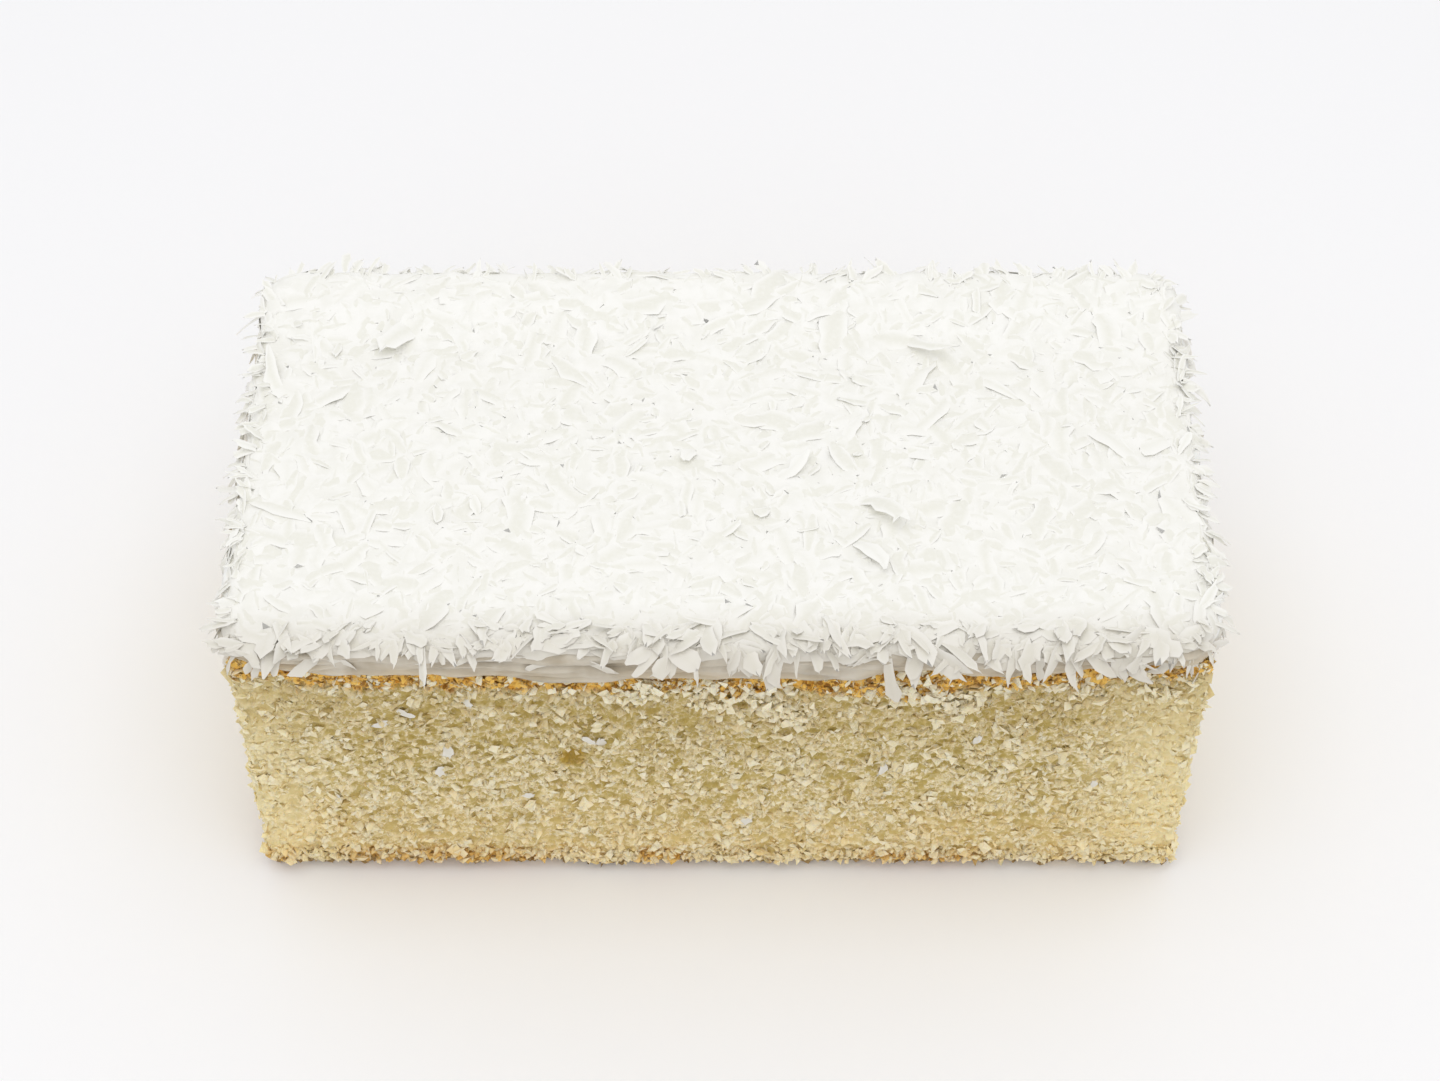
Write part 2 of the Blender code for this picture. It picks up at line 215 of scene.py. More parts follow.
def noise_at(points, size, shift=0.0):
    """Smooth noise from -1 to 1 with lumps of the given size."""
    offset = Vector((shift, 2.3 * shift, 3.1 * shift))
    return np.array([noise.noise(Vector(p) / size + offset) for p in points.reshape(-1, 3)]).reshape(
        points.shape[:-1])


def quads_between(rows, columns, closed=False):
    """Quads between rows of points, each row a closed ring or open at its ends."""
    row, step = np.meshgrid(np.arange(rows - 1), np.arange(columns - (not closed)), indexing="ij")
    here, after = row * columns + step, row * columns + (step + 1) % columns
    return np.stack([here, after, after + columns, here + columns], axis=-1).reshape(-1, 4)


def ring_faces(rings, around):
    """Quads between rings of points, and fans over the end rings to the two points that follow them."""
    quads = quads_between(rings, around, closed=True)
    step = np.arange(around)
    after = (step + 1) % around
    first = np.column_stack([after, step, np.full(around, rings * around)])
    last = (rings - 1) * around
    second = np.column_stack([last + step, last + after, np.full(around, rings * around + 1)])
    return quads.tolist() + first.tolist() + second.tolist()


def top_level(x):
    """Height of the sponge's top, which rose at its left end and over its right half, in a gentle wave."""
    share = np.clip((x - SPONGE_MIDDLE.x) / SPONGE_X, -1, 1)
    rise = np.where(share > 0, RIGHT_RISE * np.abs(share) ** 1.5, LEFT_RISE * np.abs(share) ** 3)
    wave = np.cos((x - TOP_WAVE_CREST) / TOP_WAVE_LENGTH * 2 * math.pi) - 1
    return SPONGE_TOP + rise + TOP_WAVE * wave * (1 + share) / 2


draw = np.random.default_rng(7)
cut = Outline(SPONGE_X, SPONGE_Y, SPONGE_CORNER)

# Each bubble hollows a bowl in a chart of the unrolled sides, and where bowls meet a thin wall is left.
CHART_TOP = SPONGE_TOP + RIGHT_RISE
chart = np.zeros((int(CHART_TOP / BUBBLE_CHART) + 8, int(cut.around / BUBBLE_CHART) + 1))
radii = np.minimum(BUBBLE_RADIUS[0] * (1 - draw.random(BUBBLES)) ** -0.25, BUBBLE_RADIUS[1])
bubbles = np.column_stack([draw.random(BUBBLES) * cut.around, draw.random(BUBBLES) * CHART_TOP,
                           radii * BUBBLE_FLATNESS, radii, radii * draw.uniform(*BUBBLE_DEPTH, BUBBLES)])
hole_run = cut.front_start + LARGE_HOLE[0] + SPONGE_X - SPONGE_CORNER
bubbles = np.vstack([bubbles, [hole_run, LARGE_HOLE[1], *LARGE_HOLE_SIZE]])
for run, height, half_wide, half_high, deep in bubbles:
    columns = np.arange(int((run - half_wide) / BUBBLE_CHART), int((run + half_wide) / BUBBLE_CHART) + 1)
    rows = np.arange(max(0, int((height - half_high) / BUBBLE_CHART)),
                     min(len(chart) - 1, int((height + half_high) / BUBBLE_CHART)) + 1)
    across = (columns * BUBBLE_CHART - run) / half_wide
    upward = (rows * BUBBLE_CHART - height) / half_high
    bowl = deep * np.sqrt(np.clip(1 - across[None, :] ** 2 - upward[:, None] ** 2, 0, 1))
    place = np.ix_(rows, columns % chart.shape[1])
    chart[place] = np.maximum(chart[place], bowl)


def read_chart(run, height):
    """The bowls' depth at places of the unrolled sides, read between the chart's points."""
    column = (run / BUBBLE_CHART) % (chart.shape[1] - 1)
    row = np.clip(height / BUBBLE_CHART, 0, chart.shape[0] - 2)
    left, low = column.astype(int), row.astype(int)
    right = (left + 1) % chart.shape[1]
    share_x, share_z = column - left, row - low
    lower = chart[low, left] * (1 - share_x) + chart[low, right] * share_x
    upper = chart[low + 1, left] * (1 - share_x) + chart[low + 1, right] * share_x
    return lower * (1 - share_z) + upper * share_z


def torn_cut(draw, start, stop, cell, row):
    """A stretch of the torn sides, bottom row first: its points, ways out and depths in the bowls."""
    run, share = np.meshgrid(np.linspace(start, stop, round((stop - start) / cell)),
                             np.linspace(0, 1, round(SPONGE_TOP / row)))
    x, y, way_x, way_y = cut.read(run)
    level = top_level(x)
    height = share * level
    flat = np.stack([x, y, height], axis=-1)
    outs = np.stack([way_x, way_y, 0 * way_x], axis=-1)
    wander = noise_at(flat, WANDER_SIZE, 1.7)
    stray = noise_at(flat, WANDER_SIZE, 5.3)
    depth = read_chart(run + WALL_WANDER * wander, height + WALL_WANDER * stray)
    lumps = noise_at(flat, LUMP_SIZE, 3.0)
    crags = noise_at(flat, CRAG_SIZE, 8.0)
    burrs = noise_at(flat, BURR_SIZE, 4.0) + 0.3 * draw.standard_normal(run.shape)
    wall = np.clip(1 - depth / BUBBLE_WALL, 0, 1)
    near_top = np.clip((height - level + TOP_CRUST + 0.6 * MM * crags) / TOP_CRUST, 0, 1)
    near_foot = np.clip(1 - height / TORN_FOOT, 0, 1)
    undercut = np.where(height < BASE_THICKNESS, BASE_SHARE, np.clip(3 - 3 * height / FOOT_HEIGHT, 0, 1))
    push = (LUMP_HEIGHT * lumps + CRAG_HEIGHT * crags + BURR_HEIGHT * wall * burrs
            - depth * (1 - 0.5 * near_top) - TOP_CRUST_STEP * near_top
            + near_top * (CRUST_BURRS * burrs + CRUST_CRAGS * crags) + near_foot * FOOT_CRAGS * crags
            - FOOT_UNDERCUT * undercut)
    points = flat + outs * push[..., None]
    points[..., 2] = np.clip(height + BURR_LIFT * burrs * (1 - near_foot), 0, level)
    return points, outs, depth


def note(piece, name, values):
    """Keeps a value for each point of a piece, for its material to read."""
    kept = piece.data.attributes.new(name, "FLOAT", "POINT")
    kept.data.foreach_set("value", np.asarray(values, float).ravel())


def sponge_piece(piece, hollow, fresh):
    """Notes how hollow a piece's points are, how fresh and how deep under the top, and attaches it."""
    points = np.array([point.co for point in piece.data.vertices])
    note(piece, "hollow", hollow)
    note(piece, "fresh", fresh + np.zeros(len(points)))
    note(piece, "under_top", top_level(points[:, 0]) - points[:, 2])
    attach(piece, "root")


def cut_piece(name, points, outs, depth, material):
    """A stretch of the cut sides, with its edges turned in under the cake and under the icing."""
    foot = points[0] - outs[0] * SKIRT
    head = points[-1] - outs[-1] * SKIRT
    foot[:, 2] = 0
    points = np.concatenate([foot[None], points, head[None]])
    piece = add_piece(name, points.reshape(-1, 3), quads_between(*points.shape[:2]).tolist(), material)
    depth = np.concatenate([0 * depth[:1], depth, 0 * depth[:1]])
    sponge_piece(piece, np.clip(depth / HOLLOW_DEPTH, 0, 1) ** 0.8, 0.0)
    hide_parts("sponge")


# Crumb is cream on torn walls and a deeper yellow in the bowls and under the icing, both as painted shade;
# golden, painted lighter, towards the baked bottom; amber where the crust shows. Light goes a little way in.
CRUMB_BRIGHT = (0.99, 0.926, 0.724)
CRUMB_PALE = (0.952, 0.818, 0.538)
CRUMB_END = (0.99, 0.849, 0.497)
CRUMB_DEEP_IN_SHADE = (0.497, 0.373, 0.098)
CRUMB_GOLD_AND_LIT = (0.983, 0.761, 0.373)
CRUMB_SHADED_UNDER_ICING = (0.475, 0.338, 0.092)
CRUST_AMBER = (0.89, 0.53, 0.10)
CRUST_DARK = (0.32, 0.14, 0.012)
FOOT_GOLD = (0.828, 0.507, 0.124)
FOOT_DARK = (0.52, 0.27, 0.04)
HOLE_GOLD_IN_SHADE = (0.56, 0.37, 0.055)
BASE_BROWN_IN_SHADOW = (0.44, 0.29, 0.12)
FRESH_FADE = (7.0 * MM, 3.0 * MM)
CRUST_RAGS = 6.0 * MM
CRUST_FADE = (3.9 * MM, 2.5 * MM)
HOLE_FADE = (2.3 * MM, 1.4 * MM)
FOOT_FADE = (5.6 * MM, 2.8 * MM)
BASE_FADE = (1.0 * MM, 0.5 * MM)
LEAST_BROWNED = 0.12
FINEST_BUBBLE = 0.75 * MM
CRUMB_MIDDLE = -2 * MM
CRUMB_GLOW = (1.0, 0.75, 0.4)

# The top crust is thicker in places, and the bottom browned in patches. Their middles along X, how far they
# reach to both sides and, for the top, how much further down the crust goes.
THICK_CRUST = ((-46 * MM, 15 * MM, 0.6 * MM), (-2 * MM, 7 * MM, 0.4 * MM),
               (24 * MM, 9 * MM, 2.6 * MM), (44 * MM, 8 * MM, 0.5 * MM))
FOOT_PATCHES = ((-37 * MM, 15 * MM), (-8 * MM, 4 * MM), (28 * MM, 8 * MM), (-62 * MM, 3 * MM))


def layered(colour, *layers):
    """A colour with others laid over it in turn, each by its own share."""
    for share, over in layers:
        both = {6: colour, 7: over}
        for index, value in both.items():
            if not isinstance(value, bpy.types.NodeSocket):
                both[index] = (*value, 1.0)
        made = add_node(share.id_data, "ShaderNodeMix", {0: share, **both}, data_type="RGBA")
        colour = made.outputs[2]
    return colour


def ease(value, low, high, to_low=0.0, to_high=1.0):
    """The value, taken smoothly from one range to another."""
    return add_node(value.id_data, "ShaderNodeMapRange", {
        "Value": value, "From Min": low, "From Max": high, "To Min": to_low, "To Max": to_high,
    }, interpolation_type="SMOOTHSTEP").outputs[0]


def calculate(operation, first, second=0.0):
    """What the named operation makes of two values, or of one. One at least is another node's."""
    tree = next(value.id_data for value in (first, second) if isinstance(value, bpy.types.NodeSocket))
    return add_node(tree, "ShaderNodeMath", {0: first, 1: second}, operation=operation).outputs[0]


def times(first, second):
    """The product of two values."""
    return calculate("MULTIPLY", first, second)


def minus(first, second):
    """The first value less the second."""
    return calculate("SUBTRACT", first, second)


def on_the_cake(tree):
    """Where on the cake a place lies."""
    return add_node(tree, "ShaderNodeTexCoord").outputs["Object"]


def attribute(tree, name):
    """What a piece's points have noted under that name."""
    return add_node(tree, "ShaderNodeAttribute", attribute_name=name).outputs["Fac"]


def clouds(place, scale, detail, roughness=0.5):
    """Soft noise from 0 to 1, with so many clouds to the metre."""
    return add_node(place.id_data, "ShaderNodeTexNoise", {
        "Vector": place, "Scale": scale, "Detail": detail, "Roughness": roughness}).outputs["Fac"]


def roughen(shader, height, strength, distance):
    """Gives a surface fine relief."""
    tree = shader.id_data
    grain = add_node(tree, "ShaderNodeBump", {"Height": height, "Strength": strength, "Distance": distance})
    tree.links.new(grain.outputs["Normal"], shader.inputs["Normal"])


def soften(shader, weight, radius, scale):
    """Lets light a little way in."""
    shader.inputs["Subsurface Weight"].default_value = weight
    shader.inputs["Subsurface Radius"].default_value = radius
    shader.inputs["Subsurface Scale"].default_value = scale


def crumb_material(name):
    """Crumb, coloured by how hollow a place is and how near the top or the bottom it lies."""
    material, tree, shader = new_material(name, 0.68, 0.4)
    place = on_the_cake(tree)
    apart = add_node(tree, "ShaderNodeSeparateXYZ", {"Vector": place})
    height = apart.outputs["Z"]
    under_top = attribute(tree, "under_top")
    fresh = attribute(tree, "fresh")
    mottle = clouds(place, 160.0, 3.0)
    speckle = clouds(place, 1300.0, 4.0)
    bend = add_node(tree, "ShaderNodeTexNoise", {"Vector": place, "Scale": 1400.0, "Detail": 2.0})
    bend = add_node(tree, "ShaderNodeVectorMath", {0: bend.outputs["Color"], 1: [0.5 * MM] * 3},
                    operation="MULTIPLY").outputs[0]
    bent = add_node(tree, "ShaderNodeVectorMath", {0: place, 1: bend}, operation="ADD").outputs[0]
    foam = add_node(tree, "ShaderNodeTexVoronoi", {"Vector": bent, "Scale": 1 / FINEST_BUBBLE},
                    feature="DISTANCE_TO_EDGE").outputs["Distance"]
    patchy = ease(clouds(place, 1000.0, 2.0), 0.42, 0.58)
    film = times(ease(foam, 0.02, 0.17, 1.0, 0.0), patchy)
    flecks = clouds(bent, 1900.0, 3.0)

    def aside(middle):
        """How far a place lies from that one along X."""
        return calculate("ABSOLUTE", minus(apart.outputs["X"], middle))

    # Torn walls, bowls, pale flecks, paler ends, golden and painted lighter low down, painted shade under
    # icing.
    # Colour by depth in the bowls paints shade into them and light onto the torn walls between them.
    hollow = times(attribute(tree, "hollow"), ease(mottle, 0.3, 0.7, 0.75, 1.0))
    hollow = minus(hollow, times(film, 0.48))
    hollow = calculate("ADD", hollow, ease(speckle, 0.35, 0.7, 0.0, 0.34))
    flecked = times(ease(flecks, 0.54, 0.64), ease(hollow, 0.7, 0.1, 0.15, 0.9))
    near_end = ease(aside(CRUMB_MIDDLE), SPONGE_X * 0.72, SPONGE_X * 0.99, 0.0, 0.68)
    # Towards the bottom the crumb turns golden, partly its baked colour and partly painted light from the
    # table.
    golden = ease(height, SPONGE_TOP * 0.60, 0.0, 0.0, 0.55)
    golden = times(golden, ease(mottle, 0.35, 0.65, 0.4, 1.0))
    # Painted shade darkens the face under the icing's overhang, less on the fresh crumbs.
    shade_under_icing = ease(under_top, SPONGE_TOP * 0.62, 1.0 * MM, 0.0, 0.42)
    shade_under_icing = times(shade_under_icing, minus(1.0, times(fresh, 0.6)))
    bright = times(fresh, ease(under_top, *FRESH_FADE, 0.35, 0.7))

    # The ragged crust at the top, and the large hole below it, gold darkened there by painted shade.
    ragged = times(minus(clouds(place, 95.0, 4.0, 0.7), 0.5), CRUST_RAGS)
    crust_under = calculate("ADD", under_top, ragged)
    for middle, reach, further in THICK_CRUST:
        crust_under = minus(crust_under, ease(aside(middle), reach, 0.5 * reach, 0.0, further))
    crust = ease(crust_under, *CRUST_FADE, 0.0, 0.97)
    crust = times(crust, ease(film, 0.35, 0.9, 1.0, 0.45))
    crust = times(crust, minus(1.0, fresh))
    amber = layered(CRUST_AMBER, (ease(speckle, 0.47, 0.60), CRUST_DARK))
    from_hole = add_node(tree, "ShaderNodeVectorMath", {
        0: place, 1: (LARGE_HOLE[0], -SPONGE_Y, LARGE_HOLE[1])}, operation="DISTANCE").outputs["Value"]
    in_hole = ease(from_hole, *HOLE_FADE, 0.0, 0.85)

    # The foot, browned in patches, and the brown underside, its baked colour darkened as painted shadow.
    browned = LEAST_BROWNED
    for middle, reach in FOOT_PATCHES:
        browned = calculate("MAXIMUM", browned, ease(aside(middle), 1.3 * reach, 0.7 * reach))
    foot = ease(calculate("ADD", height, ragged), *FOOT_FADE, 0.0, 0.9)
    foot = times(times(foot, browned), minus(1.0, times(fresh, 0.7)))
    baked = layered(FOOT_GOLD, (ease(speckle, 0.45, 0.65), FOOT_DARK))
    underside = ease(height, *BASE_FADE)

    colour = layered(
        CRUMB_PALE, (ease(hollow, -0.12, 0.95), CRUMB_DEEP_IN_SHADE), (flecked, CRUMB_BRIGHT),
        (near_end, CRUMB_END), (golden, CRUMB_GOLD_AND_LIT), (shade_under_icing, CRUMB_SHADED_UNDER_ICING), (bright, CRUMB_BRIGHT),
        (crust, amber), (in_hole, HOLE_GOLD_IN_SHADE), (foot, baked), (underside, BASE_BROWN_IN_SHADOW))
    tree.links.new(colour, shader.inputs["Base Color"])
    roughen(shader, calculate("ADD", film, times(speckle, 0.6)), 0.5, 0.16 * MM)
    soften(shader, 0.2, CRUMB_GLOW, 0.6 * MM)
    return material


sponge_crumb = crumb_material("sponge_crumb")
front_runs = (cut.front_start - CUT_OVERLAP[0], cut.around + CUT_OVERLAP[0])
front_cut = torn_cut(draw, *front_runs, FRONT_CELL, FRONT_CELL)
cut_piece("sponge_front", *front_cut, sponge_crumb)
back_runs = (-CUT_OVERLAP[1], cut.front_start + CUT_OVERLAP[1])
back_cut = torn_cut(draw, *back_runs, *SIDE_CELL)
cut_piece("sponge_ends_and_back", *back_cut, sponge_crumb)
inside = Outline(SPONGE_X - 0.8 * SKIRT, SPONGE_Y - 0.8 * SKIRT, SPONGE_CORNER)
x, y = inside.table[:-1, 0] + SPONGE_MIDDLE.x, inside.table[:-1, 1] + SPONGE_MIDDLE.y
core_levels = (0.03 * MM, SPONGE_TOP - 2 * TOP_WAVE)
rings = [np.column_stack([x, y, np.full(len(x), z)]) for z in core_levels]
caps = [(SPONGE_MIDDLE.x, SPONGE_MIDDLE.y, z) for z in core_levels]
core = add_piece("sponge_core", np.vstack(rings + [caps]), ring_faces(2, len(x)), sponge_crumb)
core.data.set_sharp_from_angle(angle=math.radians(35))
sponge_piece(core, np.zeros(2 * len(x) + 2), 0.0)
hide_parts("sponge")

# THE TORN CRUMBS
# Thin flakes of bubble wall that the knife left standing on the cut sides, and coarser crumbs that cling
# along the bottom edge and the torn crust. They are bits of the same sponge, grown out of its walls.
STANDING_CRUMBS = 15500
STANDING_SIZE = (0.55 * MM, 1.7 * MM)
LARGE_CRUMBS = 1000
LARGE_SIZE = (1.2 * MM, 2.2 * MM)
FOOT_CRUMBS = 3200
FOOT_SIZE = (0.6 * MM, 1.7 * MM)
FOOT_SPREAD = 2.4 * MM
FOOT_SINKING = 0.9 * MM
CRUST_CRUMBS = 2400
CRUST_SIZE = (0.5 * MM, 2.0 * MM)
CRUST_SPREAD = 4.6 * MM
THIN = (0.15, 0.35)
LUMPY = (0.25, 0.45)
FRESH_SHARE = 0.45
FRESH_ON_CRUST = 0.6
CLUSTER_CRUMBS = 34
CLUSTER_SIZE = (0.7 * MM, 1.9 * MM)
CLUSTER_SPREAD = (1.6 * MM, 1.1 * MM)
CLUSTER_HEIGHT = 0.65
CLUSTER_HOLLOW = -0.3

# Where crumbs hang together in clusters under the crust in front: X and height in mm.
CLUSTERS = ((-9.9, 41.6), (-11.5, 40.4), (0.3, 39.4), (5.2, 41.2), (8.0, 37.8), (9.6, 35.6), (24.2, 42.0),
            (29.5, 39.6), (31.5, 38.8), (47.0, 41.5), (57.5, 41.6), (-2.0, 42.5))


def chips(draw, count, size, middles, outs, lean, spin, thickness):
    """Broken flakes of eight faces, wide and thin, that stand on a surface with one edge outwards."""
    shape = np.array([(1, 0, 0), (-1, 0, 0), (0, 1, 0), (0, -1, 0), (0, 0, 1), (0, 0, -1)], float)
    long = draw.uniform(*size, count)
    wide = long * draw.uniform(0.3, 0.5, count)
    sizes = np.column_stack([long / 2, wide, long * draw.uniform(*thickness, count)])
    local = shape[None] * (1 + 0.3 * draw.standard_normal((count, 6, 1)))
    local = (local + 0.22 * draw.standard_normal((count, 6, 3))) * sizes[:, None]
    up = np.array([0, 0, 1.0])
    level = np.cross(up, outs)
    level /= np.linalg.norm(level, axis=1)[:, None]
    rise = np.cross(outs, level)
    turn = draw.normal(0, spin, count)[:, None]
    along = level * np.cos(turn) + rise * np.sin(turn)
    cross = np.cross(outs, along)
    tip = draw.normal(0, lean, count)[:, None]
    stand = outs * np.cos(tip) + cross * np.sin(tip)
    face = np.cross(along, stand)
    axes = np.stack([along, stand, face], axis=1)
    points = middles[:, None] + np.einsum("nvi,nij->nvj", local, axes)
    pattern = np.array([(0, 2, 4), (2, 1, 4), (1, 3, 4), (3, 0, 4),
                        (2, 0, 5), (1, 2, 5), (3, 1, 5), (0, 3, 5)])
    faces = (np.arange(count)[:, None, None] * 6 + pattern[None]).reshape(-1, 3)
    return points.reshape(-1, 3), faces


def on_the_cut(run, share, above):
    """Places on the torn sides, a little above their surface, and the ways out of the cake there."""
    places, ways = np.empty((2, len(run), 3))
    on_front = run > cut.front_start
    for chosen, (points, outs, _), (start, stop) in ((on_front, front_cut, front_runs),
                                                     (~on_front, back_cut, back_runs)):
        column = np.round((run[chosen] - start) / (stop - start) * (points.shape[1] - 1)).astype(int)
        row = np.round(share[chosen] * (points.shape[0] - 1)).astype(int)
        places[chosen] = points[row, column]
        ways[chosen] = outs[row, column]
    return places + ways * above[:, None], ways


def torn_off(draw, run, share, above, size, lean, spin, thickness, sunk=0.0):
    """Flakes that stand on the cut at these places, so many mm above it and sunk so far."""
    middles, outs = on_the_cut(run, share, above * MM)
    middles[:, 2] -= sunk
    return chips(draw, len(run), size, middles, outs, lean, spin, thickness)


draw = np.random.default_rng(19)
kinds = []
run = draw.random(STANDING_CRUMBS * 2) * cut.around
share = draw.random(STANDING_CRUMBS * 2) * 0.98
on_walls = np.argsort(read_chart(run, share * SPONGE_TOP))[:STANDING_CRUMBS]
kinds.append(torn_off(draw, run[on_walls], share[on_walls], draw.uniform(-0.1, 0.25, STANDING_CRUMBS),
                      STANDING_SIZE, 0.7, 0.9, THIN))
run = draw.random(LARGE_CRUMBS) * cut.around
share = 0.04 + 0.9 * draw.random(LARGE_CRUMBS)
kinds.append(torn_off(draw, run, share, draw.uniform(0.0, 0.3, LARGE_CRUMBS), LARGE_SIZE, 1.3, 1.0, THIN))
run = draw.random(FOOT_CRUMBS) * cut.around
share = (draw.random(FOOT_CRUMBS) ** 2 * FOOT_SPREAD + FOOT_HEIGHT) / SPONGE_TOP
kinds.append(torn_off(draw, run, share, draw.uniform(-0.2, 0.6, FOOT_CRUMBS), FOOT_SIZE, 1.2, 1.5, LUMPY,
                      sunk=draw.random(FOOT_CRUMBS) ** 1.5 * FOOT_SINKING))
run = draw.random(CRUST_CRUMBS) * cut.around
share = 1 - (draw.random(CRUST_CRUMBS) ** 1.2 * CRUST_SPREAD + 0.3 * MM) / SPONGE_TOP
kinds.append(torn_off(draw, run, share, draw.uniform(-0.1, 0.45, CRUST_CRUMBS), CRUST_SIZE, 1.3, 0.9, THIN))
spots = np.repeat(np.array(CLUSTERS) * MM, CLUSTER_CRUMBS, axis=0)
spots += draw.standard_normal(spots.shape) * CLUSTER_SPREAD
run = cut.front_start + spots[:, 0] + SPONGE_X - SPONGE_CORNER
share = np.clip(spots[:, 1] / top_level(spots[:, 0]), 0, 1)
above = np.abs(draw.normal(0, CLUSTER_HEIGHT, len(spots)))
kinds.append(torn_off(draw, run, share, above, CLUSTER_SIZE, 1.2, 1.5, LUMPY))
crumb_points = np.vstack([points for points, _ in kinds])
crumb_points[:, 2] = np.clip(crumb_points[:, 2], 0.02 * MM, top_level(crumb_points[:, 0]) + 0.2 * MM)
starts = np.cumsum([0] + [len(points) for points, _ in kinds])
crumb_faces = np.vstack([faces + start for (_, faces), start in zip(kinds, starts)])
crumbs = add_piece("torn_crumbs", crumb_points, crumb_faces.tolist(), crumb_material("torn_crumbs"))
crumbs.data.set_sharp_from_angle(angle=math.radians(75))
crumb_count = len(crumb_points) // 6
hollow = np.where(draw.random(crumb_count) < 0.6, draw.uniform(-0.35, 0.05, crumb_count),
                  draw.uniform(0.05, 0.55, crumb_count))
fresh = draw.random(crumb_count) < FRESH_SHARE
on_crust = slice(-len(spots) - CRUST_CRUMBS, -len(spots))
fresh[on_crust] &= draw.random(CRUST_CRUMBS) < FRESH_ON_CRUST
fresh[-len(spots):] = True
hollow[-len(spots):] = CLUSTER_HOLLOW
sponge_piece(crumbs, np.repeat(hollow, 6), np.repeat(fresh, 6))

# THE ICING
# White buttercream, spread over the sponge with a palette knife. Its top rolls in soft lumps under the
# coconut, and its edge bulges a little over the cut sides, smeared level in long creases by the knife.
ICING_THICKNESS = 5.3 * MM
FRONT_OVERHANG = 0.35 * MM
END_OVERHANG = 0.9 * MM
BACK_OVERHANG = 2.9 * MM
ICING_CORNER = 6.0 * MM
ICING_RIM = 1.8 * MM
ICING_STEP = 0.6 * MM
TOP_STEP = 1.2 * MM
CREASE_DEPTH = 0.7 * MM
SWELL_DEPTH = 0.35 * MM
TOP_ROLL = 0.5 * MM
HEM_WAVE = 0.5 * MM
HEM_HEIGHT = 3 * MM
UNDER_COCONUT = 0.9 * MM
ICING_TOP = SPONGE_TOP + ICING_THICKNESS
ICING_X = SPONGE_X + END_OVERHANG
ICING_Y = SPONGE_Y + (FRONT_OVERHANG + BACK_OVERHANG) / 2
ICING_SHIFT = (BACK_OVERHANG - FRONT_OVERHANG) / 2

edge = Outline(ICING_X, ICING_Y, ICING_CORNER)
around = round(edge.around / ICING_STEP)
shares = np.arange(around) / around

# The rings of the icing, from under its edge to the middle of its top: how far in from the edge each lies,
# how far up from the sponge, and how freely it wavers.
flank = ICING_THICKNESS - ICING_RIM
profile = [(4.0 * MM, -0.2 * MM, 0.0), (0.6 * MM, -0.35 * MM, 0.2)]
profile += [(0.0, rise, 1.0) for rise in np.linspace(-0.1 * MM, flank, 14)]
profile += [(ICING_RIM * (1 - math.cos(turn)), flank + ICING_RIM * math.sin(turn), 1.0)
            for turn in np.linspace(0.2, math.pi / 2, 8)]
profile += [(ICING_RIM + inward, ICING_THICKNESS, 1.0)
            for inward in np.arange(TOP_STEP, ICING_Y - 3.4 * MM, TOP_STEP)]
rings, ring_outs = [], []
for inward, rise, _ in profile:
    level = Outline(ICING_X - inward, ICING_Y - inward, max(ICING_CORNER - inward, 0.4 * MM))
    x, y, way_x, way_y = level.read(shares * level.around)
    squeeze = (ICING_TOP - top_level(x)) / ICING_THICKNESS
    rings.append(np.stack([x, y + ICING_SHIFT, ICING_TOP - (ICING_THICKNESS - rise) * squeeze], axis=-1))
    ring_outs.append(np.stack([way_x, way_y, np.zeros(around)], axis=-1))
rings, ring_outs = np.array(rings), np.array(ring_outs)
inward, rise, loose = (np.array(column)[:, None] for column in zip(*profile))
side = np.clip(1 - inward / ICING_RIM, 0, 1)
stretched = rings * np.array([1, 1, 9])
creases = 0.8 - 2.4 * np.abs(noise_at(stretched, 11 * MM, 2.0)) + 0.6 * noise_at(stretched, 5 * MM, 6.0)
swells = noise_at(rings, 8 * MM, 1.0)
hem = noise_at(rings * np.array([1, 1, 0]), 5 * MM, 4.0)
rings += ring_outs * (loose * side * (CREASE_DEPTH * creases + SWELL_DEPTH * swells))[..., None]
rings[..., 2] += (loose * (1 - side) * (TOP_ROLL * swells - UNDER_COCONUT)
                  + loose * side * HEM_WAVE * hem * np.clip(1 - rise / HEM_HEIGHT, 0, 1))
icing_caps = [(SPONGE_MIDDLE.x, SPONGE_MIDDLE.y, level) for level in (SPONGE_TOP, ICING_TOP)]

# Low on its edge the icing is stained beige by the crust's crumbs that the knife dragged into it. Its
# colours carry painted shade, as under the coconut's overhang; on the ends and the back its upper rim is
# left white.
ICING_WHITE_IN_SHADE = (0.64, 0.585, 0.49)
ICING_SHADE = (0.49, 0.425, 0.325)
ICING_STAINED = (0.61, 0.52, 0.38)
ICING_UNSHADED_WHITE = (0.93, 0.92, 0.885)
ICING_GLOW = (1.0, 0.9, 0.8)

icing_white, tree, shader = new_material("icing_white", 0.42, 0.4)
place = on_the_cake(tree)
cloud = ease(clouds(place, 220.0, 3.0), 0.35, 0.65)
low_down = ease(attribute(tree, "over_sponge"), 2.6 * MM, 0.2 * MM)
stained = times(low_down, ease(clouds(place, 90.0, 3.0), 0.35, 0.6))
buttercream = layered(ICING_SHADE, (cloud, ICING_WHITE_IN_SHADE), (stained, ICING_STAINED),
                      (attribute(tree, "kept_out_of_shade"), ICING_UNSHADED_WHITE))
tree.links.new(buttercream, shader.inputs["Base Color"])
roughen(shader, clouds(place, 2600.0, 2.0), 0.12, 0.1 * MM)
soften(shader, 0.3, ICING_GLOW, 1.2 * MM)


